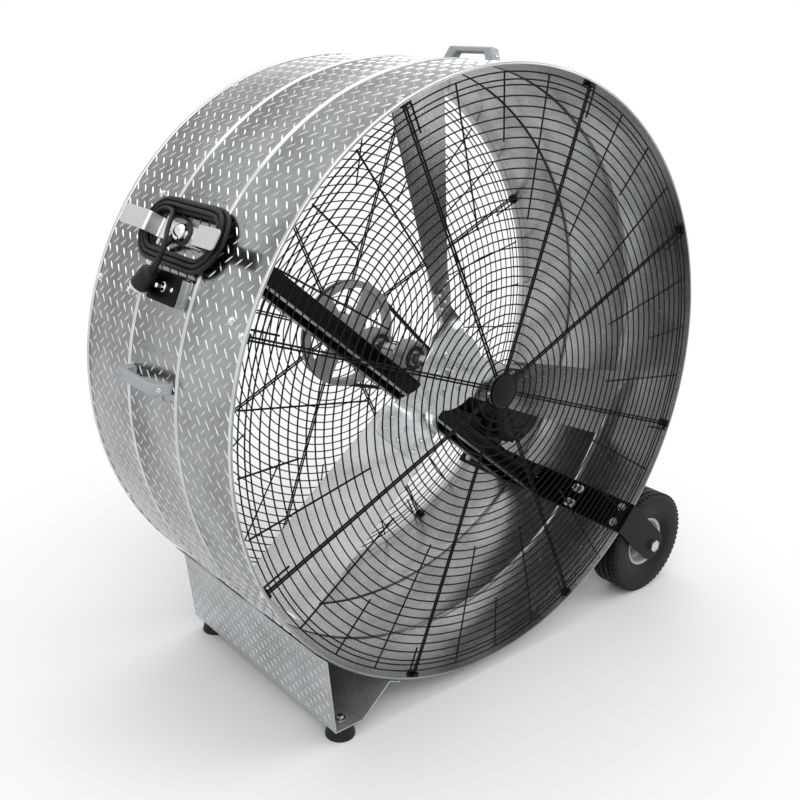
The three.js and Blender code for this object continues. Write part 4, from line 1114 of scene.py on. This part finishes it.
def rim_shape(y):
    half = [(BORE_R, 46.5), (20, 46.5), (22, 45), (22, 12), (26, 9.7), (48, 9.7)]
    half += [(52, 13), (56, 27), (59, 29), (62.5, 29), (64, 27.5)]
    shapes = [lathe(mirrored(half, y), 96, loop=True)]
    for k in range(5):
        for side, inward in ((-1, 7), (1, 3)):
            middle = y + side * 18
            rib = block((20, middle - 11, -2.2), (53, middle + inward, 2.2), 1.0)
            shapes.append(moved(rib, spoke(72 * k)))
    return joined(*shapes)


HUB_Y = HALF_DEPTH - 47
AXLE = wall(AXLE_ANGLE)
TO_AXLE = Matrix.Translation(AXLE @ Vector((0, 0, AXLE_REACH)))
for end, y in (("front", -HUB_Y), ("rear", HUB_Y)):
    body = "wheel_" + end
    rubber = joined(tyre(y), tyre_blocks(y))
    piece("tyre_tread_" + end, moved(rubber, TO_AXLE), "tyre_rubber", body, replaces=["tyre_" + end])
    piece("rim_disc_" + end, moved(rim_shape(y), TO_AXLE), "rim_plastic", body, replaces=["rim_" + end])
    dress("wheel_bush_" + end, "bearing_steel", 0.4)
dress("wheel_bracket", "black_paint", 1.2)
dress("wheel_axle", "shaft_steel", 0.8)
dress("axle_nut", "shaft_steel", 0.8)
dress("axle_spacer", "black_paint", 0.3)


def carriage_bolts():
    """Bolts through the strap and the drum's wall, with a head on each side."""
    shapes = []
    middle = radians(AXLE_ANGLE)
    places = [(degrees, y) for y in (-257, 257, -124, -110) for degrees in (-41.2, -45.1)]
    for degrees, y in places + [(AXLE_ANGLE, 13), (AXLE_ANGLE, 133)]:
        shapes.append(on_wall(hex_bolt(6.5, 6.5), degrees, y))
        a = radians(degrees)
        flat = STRAP_INNER / cos(a - middle)
        head = facing(polar(flat + 0.6, a, y), -polar(1, middle))
        shapes.append(moved(hex_bolt(7.0, 6.0), head))
    return joined(*shapes)


piece("carriage_bolts", carriage_bolts(), "shaft_steel")

# ---- Foot channel

dress("foot_bracket", "foot_plate", 0.8)


def foot_marks():
    """Tread marks on the channel's sloping sides and floor."""
    under = FOOT_TOP + FOOT_SHEET
    r = 636.8 + GAP
    low_a, high_a = radians(-116.5), radians(-133.8)
    inner = [
        (r * cos(low_a), r * sin(low_a)), (FOOT_X + FOOT_FLAT, under), (FOOT_X - FOOT_FLAT, under),
        (r * cos(high_a), r * sin(high_a)),
    ]
    shapes = []
    mark = lozenge(16, 3.6, 1.2)
    for (ax, az), (bx, bz) in zip(inner, inner[1:]):
        along = Vector((bx - ax, 0, bz - az))
        length = along.length
        along.normalize()
        out = Vector((0, 1, 0)).cross(along)
        centre = Vector(((ax + bx) / 2, 0, (az + bz) / 2))
        if out.dot(centre) < 0:
            out = -out
        count = int((length - 12) // 15.5)
        for i in range(count):
            s = length / 2 + (i - (count - 1) / 2) * 15.5
            for j in range(35):
                y = (j - 17) * 15.6
                point = Vector((ax, y, az)) + along * s + out * FOOT_SHEET
                lean = 45 if (i + j) % 2 else -45
                surface = basis(along, out.cross(along), out, point)
                surface = surface @ Matrix.Rotation(radians(lean), 4, "Z")
                shapes.append(moved(mark, surface))
    return joined(*shapes)


# The channel's tread marks get the brighter steel too: painted highlight.
piece("foot_marks", foot_marks(), "foot_plate", sharp=60, weld=False, finish="raised_highlight_steel")

for name, y in (("foot_front", -HALF_DEPTH + 33), ("foot_rear", HALF_DEPTH - 33)):
    pad = spun(
        [
            (0, -34.7), (29.5, -34.7), (31, -33.2), (31, -29.5), (29.6, -27.5), (26.2, -4), (25, -1.2),
            (23.5, 0), (0, 0),
        ],
        64,
    )
    pad = moved(pad, Matrix.Translation((FOOT_X, y, FOOT_TOP - GAP)))
    piece(name + "_rubber", pad, "foot_rubber", replaces=[name])
    bolt = moved(hex_bolt(7.5, 7), Matrix.Translation((FOOT_X, y, FOOT_TOP + FOOT_SHEET)))
    piece(name + "_bolt", bolt, "shaft_steel")

# ---- Handles


def handle():
    """A flat bow with two flared feet; +Z out of the wall. The outline is (inset, height)."""
    outer = [(0, 0.3), (0, 11), (14, 37), (17, 39)]
    inner = [(22, 0.3), (23, 4), (35, 25), (38, 27)]
    outline = [(inset - HANDLE_HALF, z) for inset, z in outer]
    outline += [(HANDLE_HALF - inset, z) for inset, z in outer[::-1] + inner]
    outline += [(inset - HANDLE_HALF, z) for inset, z in inner[::-1]]
    return prism(outline, -11, 11)


def screws_of_handle():
    shapes = []
    for s in (-1, 1):
        well = spun([(0, 0), (4.6, 0), (4.6, 0.8), (3.8, 1.2), (0, 0.9)], 20)
        tilt = facing((0, s * 72.2, 24.2), (0, s * 26, 14))
        shapes.append(moved(well, tilt))
    return joined(*shapes)


for name, degrees in (("handle_side", 173.0), ("handle_top", 77.0)):
    grip = piece(name + "_grip", on_wall(handle(), degrees, 0), "handle_plastic", replaces=[name])
    rounding = grip.modifiers.new("round", "BEVEL")
    rounding.width = 4.2 * MM
    rounding.segments = 4
    rounding.limit_method = "ANGLE"
    rounding.angle_limit = radians(60)
    piece(name + "_screws", on_wall(screws_of_handle(), degrees, 0), "shaft_steel")

# ---- Cord bracket and gland

STRIP_FOOT = 4.3  # the strip's height over the drum's wall, on the beads
STRIP = 3.0  # and its thickness
STRIP_TOP = 43.0


def cord_bracket():
    """A bent strip with rounded corners: a bar on the beads and a flap at each end."""
    half_thick = STRIP / 2
    under = STRIP_FOOT + half_thick
    top = STRIP_TOP - half_thick
    riser = BEAD_Y - 1 - half_thick
    bend = 7.5
    half = [(0, under), (riser - bend - 20, under)]
    half += [
        (riser - bend + bend * sin(a), under + bend - bend * cos(a))
        for a in [pi / 2 * k / 6 for k in range(7)]
    ]
    half += [
        (riser + bend - bend * cos(a), top - bend + bend * sin(a))
        for a in [pi / 2 * k / 6 for k in range(7)]
    ]
    end = riser + 84
    steps = [end - 14, end - 8, end - 4, end - 1.5, end - 0.4, end]
    half += [(y, top + 6 * (y - riser - bend) / (84 - bend)) for y in steps]
    line = [(-y, z) for y, z in reversed(half[1:])] + half
    rings = []
    for i, (y, z) in enumerate(line):
        before = line[max(i - 1, 0)]
        after = line[min(i + 1, len(line) - 1)]
        run = Vector((after[0] - before[0], after[1] - before[1])).normalized()
        nx, nz = -run.y, run.x
        width = 19.0
        into = max(0.0, (abs(y) - (end - 9)) / 9)
        width -= 8 * (1 - sqrt(max(0.0, 1 - min(into, 1.0) ** 2)))
        edge = chamfered(width, half_thick, 0.6)
        rings.append([Vector((x, y + nx * t, z + nz * t)) for x, t in edge])
    return loft(rings)


piece(
    "bracket_strip", on_wall(cord_bracket(), BRACKET_ANGLE, 0), "bracket_plate", sharp=42,
    replaces=["cord_bracket"],
)
base = STRIP_FOOT + STRIP + GAP
seal_profile = [(17.5, base), (21.4, base), (22, base + 0.8), (22, base + 2.2)]
seal = spun(seal_profile + [(21.2, base + 3), (17.5, base + 3)], 64, loop=True)
piece("gland_ring", on_wall(seal, BRACKET_ANGLE, 0), "seal_rubber", replaces=["gland_seal"])
profile = [(0, base), (17, base), (17, base + 9)]
for i in range(1, 9):
    a = pi / 2 * i / 8
    profile.append((17 * cos(a), base + 9 + 13 * sin(a)))
dome_shape = spun(profile, 64)
nozzle = lathe([(0, 8), (6.6, 8), (6.6, 17), (5.6, 18.4), (0, 18.4)], 32)
direction = Vector((-sin(GLAND_HEADING), cos(GLAND_HEADING), 0))
turn = basis((direction.y, -direction.x, 0), direction, (0, 0, 1))
nozzle = moved(nozzle, Matrix.Translation((0, 0, GLAND_AXIS)) @ turn)
piece(
    "gland_dome", on_wall(joined(dome_shape, nozzle), BRACKET_ANGLE, 0), "gland_chrome",
    replaces=["cord_gland"],
)
piece(
    "bracket_screws",
    joined(*[on_wall(dome(5.0, 3.0), BRACKET_ANGLE, y, DRUM_R + STRIP_FOOT + STRIP) for y in (-56, 56)]),
    "toggle_chrome",
)

# ---- Switch


def switch_box():
    outer = rounded_rectangle(28, 53, 8)
    inner = rounded_rectangle(26, 51, 6.5)
    rings = [
        [Vector((x, y, 0.3)) for x, y in outer], [Vector((x, y, 22.3)) for x, y in outer],
        [Vector((x, y, 22.3)) for x, y in inner], [Vector((x, y, 2.4)) for x, y in inner],
    ]
    return loft(rings)


def switch_cover():
    outline = rounded_rectangle(28, 53, 7)
    small_outline = rounded_rectangle(27.4, 52.4, 6.4)
    low_z, high_z = 22.6, SWITCH_FACE
    hole = [(4.5 * cos(TAU * k / 24), 7 * sin(TAU * k / 24)) for k in range(24)]
    rings = [
        [Vector((x, y, low_z)) for x, y in hole], [Vector((x, y, low_z)) for x, y in outline],
        [Vector((x, y, high_z - 0.5)) for x, y in outline],
        [Vector((x, y, high_z)) for x, y in small_outline], [Vector((x, y, high_z)) for x, y in hole],
    ]
    return loft(rings, loop=True)


SWITCH_WALL = wall(SWITCH_ANGLE, DRUM_R, SWITCH_Y)
piece("switch_case", moved(switch_box(), SWITCH_WALL), "switch_steel", replaces=["switch_box"])
piece("switch_plate", moved(switch_cover(), SWITCH_WALL), "switch_black", replaces=["switch_cover"])
dress("switch_body", "switch_black", 0.8)
trim = joined(
    *[
        moved(dome(4.2, 2.4, 20), Matrix.Translation((0, y, SWITCH_FACE)))
        for y in (-30.15, 30.15)
    ],
)
piece("switch_screws", moved(trim, SWITCH_WALL), "toggle_chrome")


def toggle_nut():
    """The star-edged ring that the lever stands in."""
    teeth = 10
    steps = 4 * teeth

    def edge(r, z, tooth=0.0):
        reach = [r + (tooth if k % 4 < 2 else 0.0) for k in range(steps)]
        turns = [TAU * k / steps for k in range(steps)]
        return [Vector((x * cos(a), x * sin(a), z)) for x, a in zip(reach, turns)]

    rings = [
        edge(6.2, 24.25), edge(8.2, 24.25, 1.5), edge(8.2, 25.9, 1.5), edge(7.5, 26.7, 1.5),
        edge(6.2, 26.7),
    ]
    return loft(rings, loop=True)


piece("switch_nut", moved(toggle_nut(), SWITCH_WALL), "toggle_chrome")
PIVOT = SWITCH_WALL @ Matrix.Translation((0, 0, 16.2))
PIVOT = PIVOT @ Matrix.Rotation(-radians(13), 4, "X")
lever = spun(
    [
        (0, -3.4), (2.4, -2.4), (3.4, 0), (3.2, 8), (3.0, 11), (3.7, 16), (4.4, 19.6), (4.3, 21.6),
        (3.0, 23.4), (0, 24),
    ],
    32,
)
piece("toggle_lever", moved(lever, PIVOT), "toggle_chrome", "toggle", replaces=["switch_toggle"])

# ---- Floor, lamps and world

FLOOR_HALF = 14.0
SHADOW_REACH = 0.55  # metres from the middle within which the floor keeps its full shadow
WHITE_FROM = 1.5  # and from which it is plain white


def seen_directly(tree):
    """1 where the camera, a mirror or clear glass sees the surface, else 0."""
    rays = node(tree, "LightPath")
    last, output = rays, "Is Camera Ray"
    for kind in ("Is Glossy Ray", "Is Transmission Ray"):
        either = node(tree, "Math")
        either.operation = "MAXIMUM"
        connect(last, output, either, 0)
        connect(rays, kind, either, 1)
        last, output = either, 0
    return last


floor_mesh = bpy.data.meshes.new("floor")
corners = [(x * FLOOR_HALF, y * FLOOR_HALF, 0) for x, y in ((-1, -1), (1, -1), (1, 1), (-1, 1))]
floor_mesh.from_pydata(corners, [], [[0, 1, 2, 3]])
floor = shown("floor", floor_mesh)
floor_paint = bpy.data.materials.new("floor_paint")
floor_paint.use_nodes = True
tree = floor_paint.node_tree
floor_shader = tree.nodes["Principled BSDF"]
floor_shader.inputs["Base Color"].default_value = (0.93, 0.93, 0.93, 1)
floor_shader.inputs["Roughness"].default_value = 0.9
glow = node(tree, "Emission", Color=(1, 1, 1, 1), Strength=1.0)
spot = node(tree, "TexCoord")
reach = node(tree, "VectorMath")
reach.operation = "LENGTH"
fade = node(tree, "MapRange", From_Min=SHADOW_REACH, From_Max=WHITE_FROM)
fade.interpolation_type = "SMOOTHSTEP"
share = node(tree, "Math")
share.operation = "MULTIPLY"
blend = node(tree, "MixShader")
connect(spot, "Object", reach, 0)
connect(reach, "Value", fade, "Value")
connect(fade, "Result", share, 0)
connect(seen_directly(tree), 0, share, 1)
connect(share, 0, blend, "Fac")
connect(floor_shader, 0, blend, 1)
connect(glow, 0, blend, 2)
connect(blend, 0, tree.nodes["Material Output"], "Surface")
floor_mesh.materials.append(floor_paint)


def lamp(name, where, target, size, power):
    light = bpy.data.lights.new(name, "AREA")
    light.shape = "RECTANGLE"
    light.size, light.size_y = size
    light.energy = power
    made = shown(name, light)
    made.location = where
    made.rotation_euler = (Vector(target) - Vector(where)).to_track_quat("-Z", "Y").to_euler()


lamp("key_lamp", (-2.6, -3.2, 3.6), (0, 0, 0.7), (2.8, 2.8), 70)
lamp("fill_lamp", (3.4, -2.8, 2.2), (0, 0, 0.7), (2.6, 2.0), 45)
lamp("top_lamp", (0.0, 0.4, 4.2), (0, 0, 0.7), (3.6, 3.6), 60)

world = bpy.data.worlds.new("studio")
bpy.context.scene.world = world
world.use_nodes = True
tree = world.node_tree
tree.nodes.clear()
light_sky = node(tree, "Background", Color=(0.9, 0.92, 0.95, 1), Strength=0.68)
seen_sky = node(tree, "Background", Color=(1, 1, 1, 1), Strength=1.0)
mix = node(tree, "MixShader")
connect(seen_directly(tree), 0, mix, "Fac")
connect(light_sky, 0, mix, 1)
connect(seen_sky, 0, mix, 2)
connect(mix, 0, node(tree, "OutputWorld"), "Surface")

bpy.context.scene.view_settings.view_transform = "Standard"
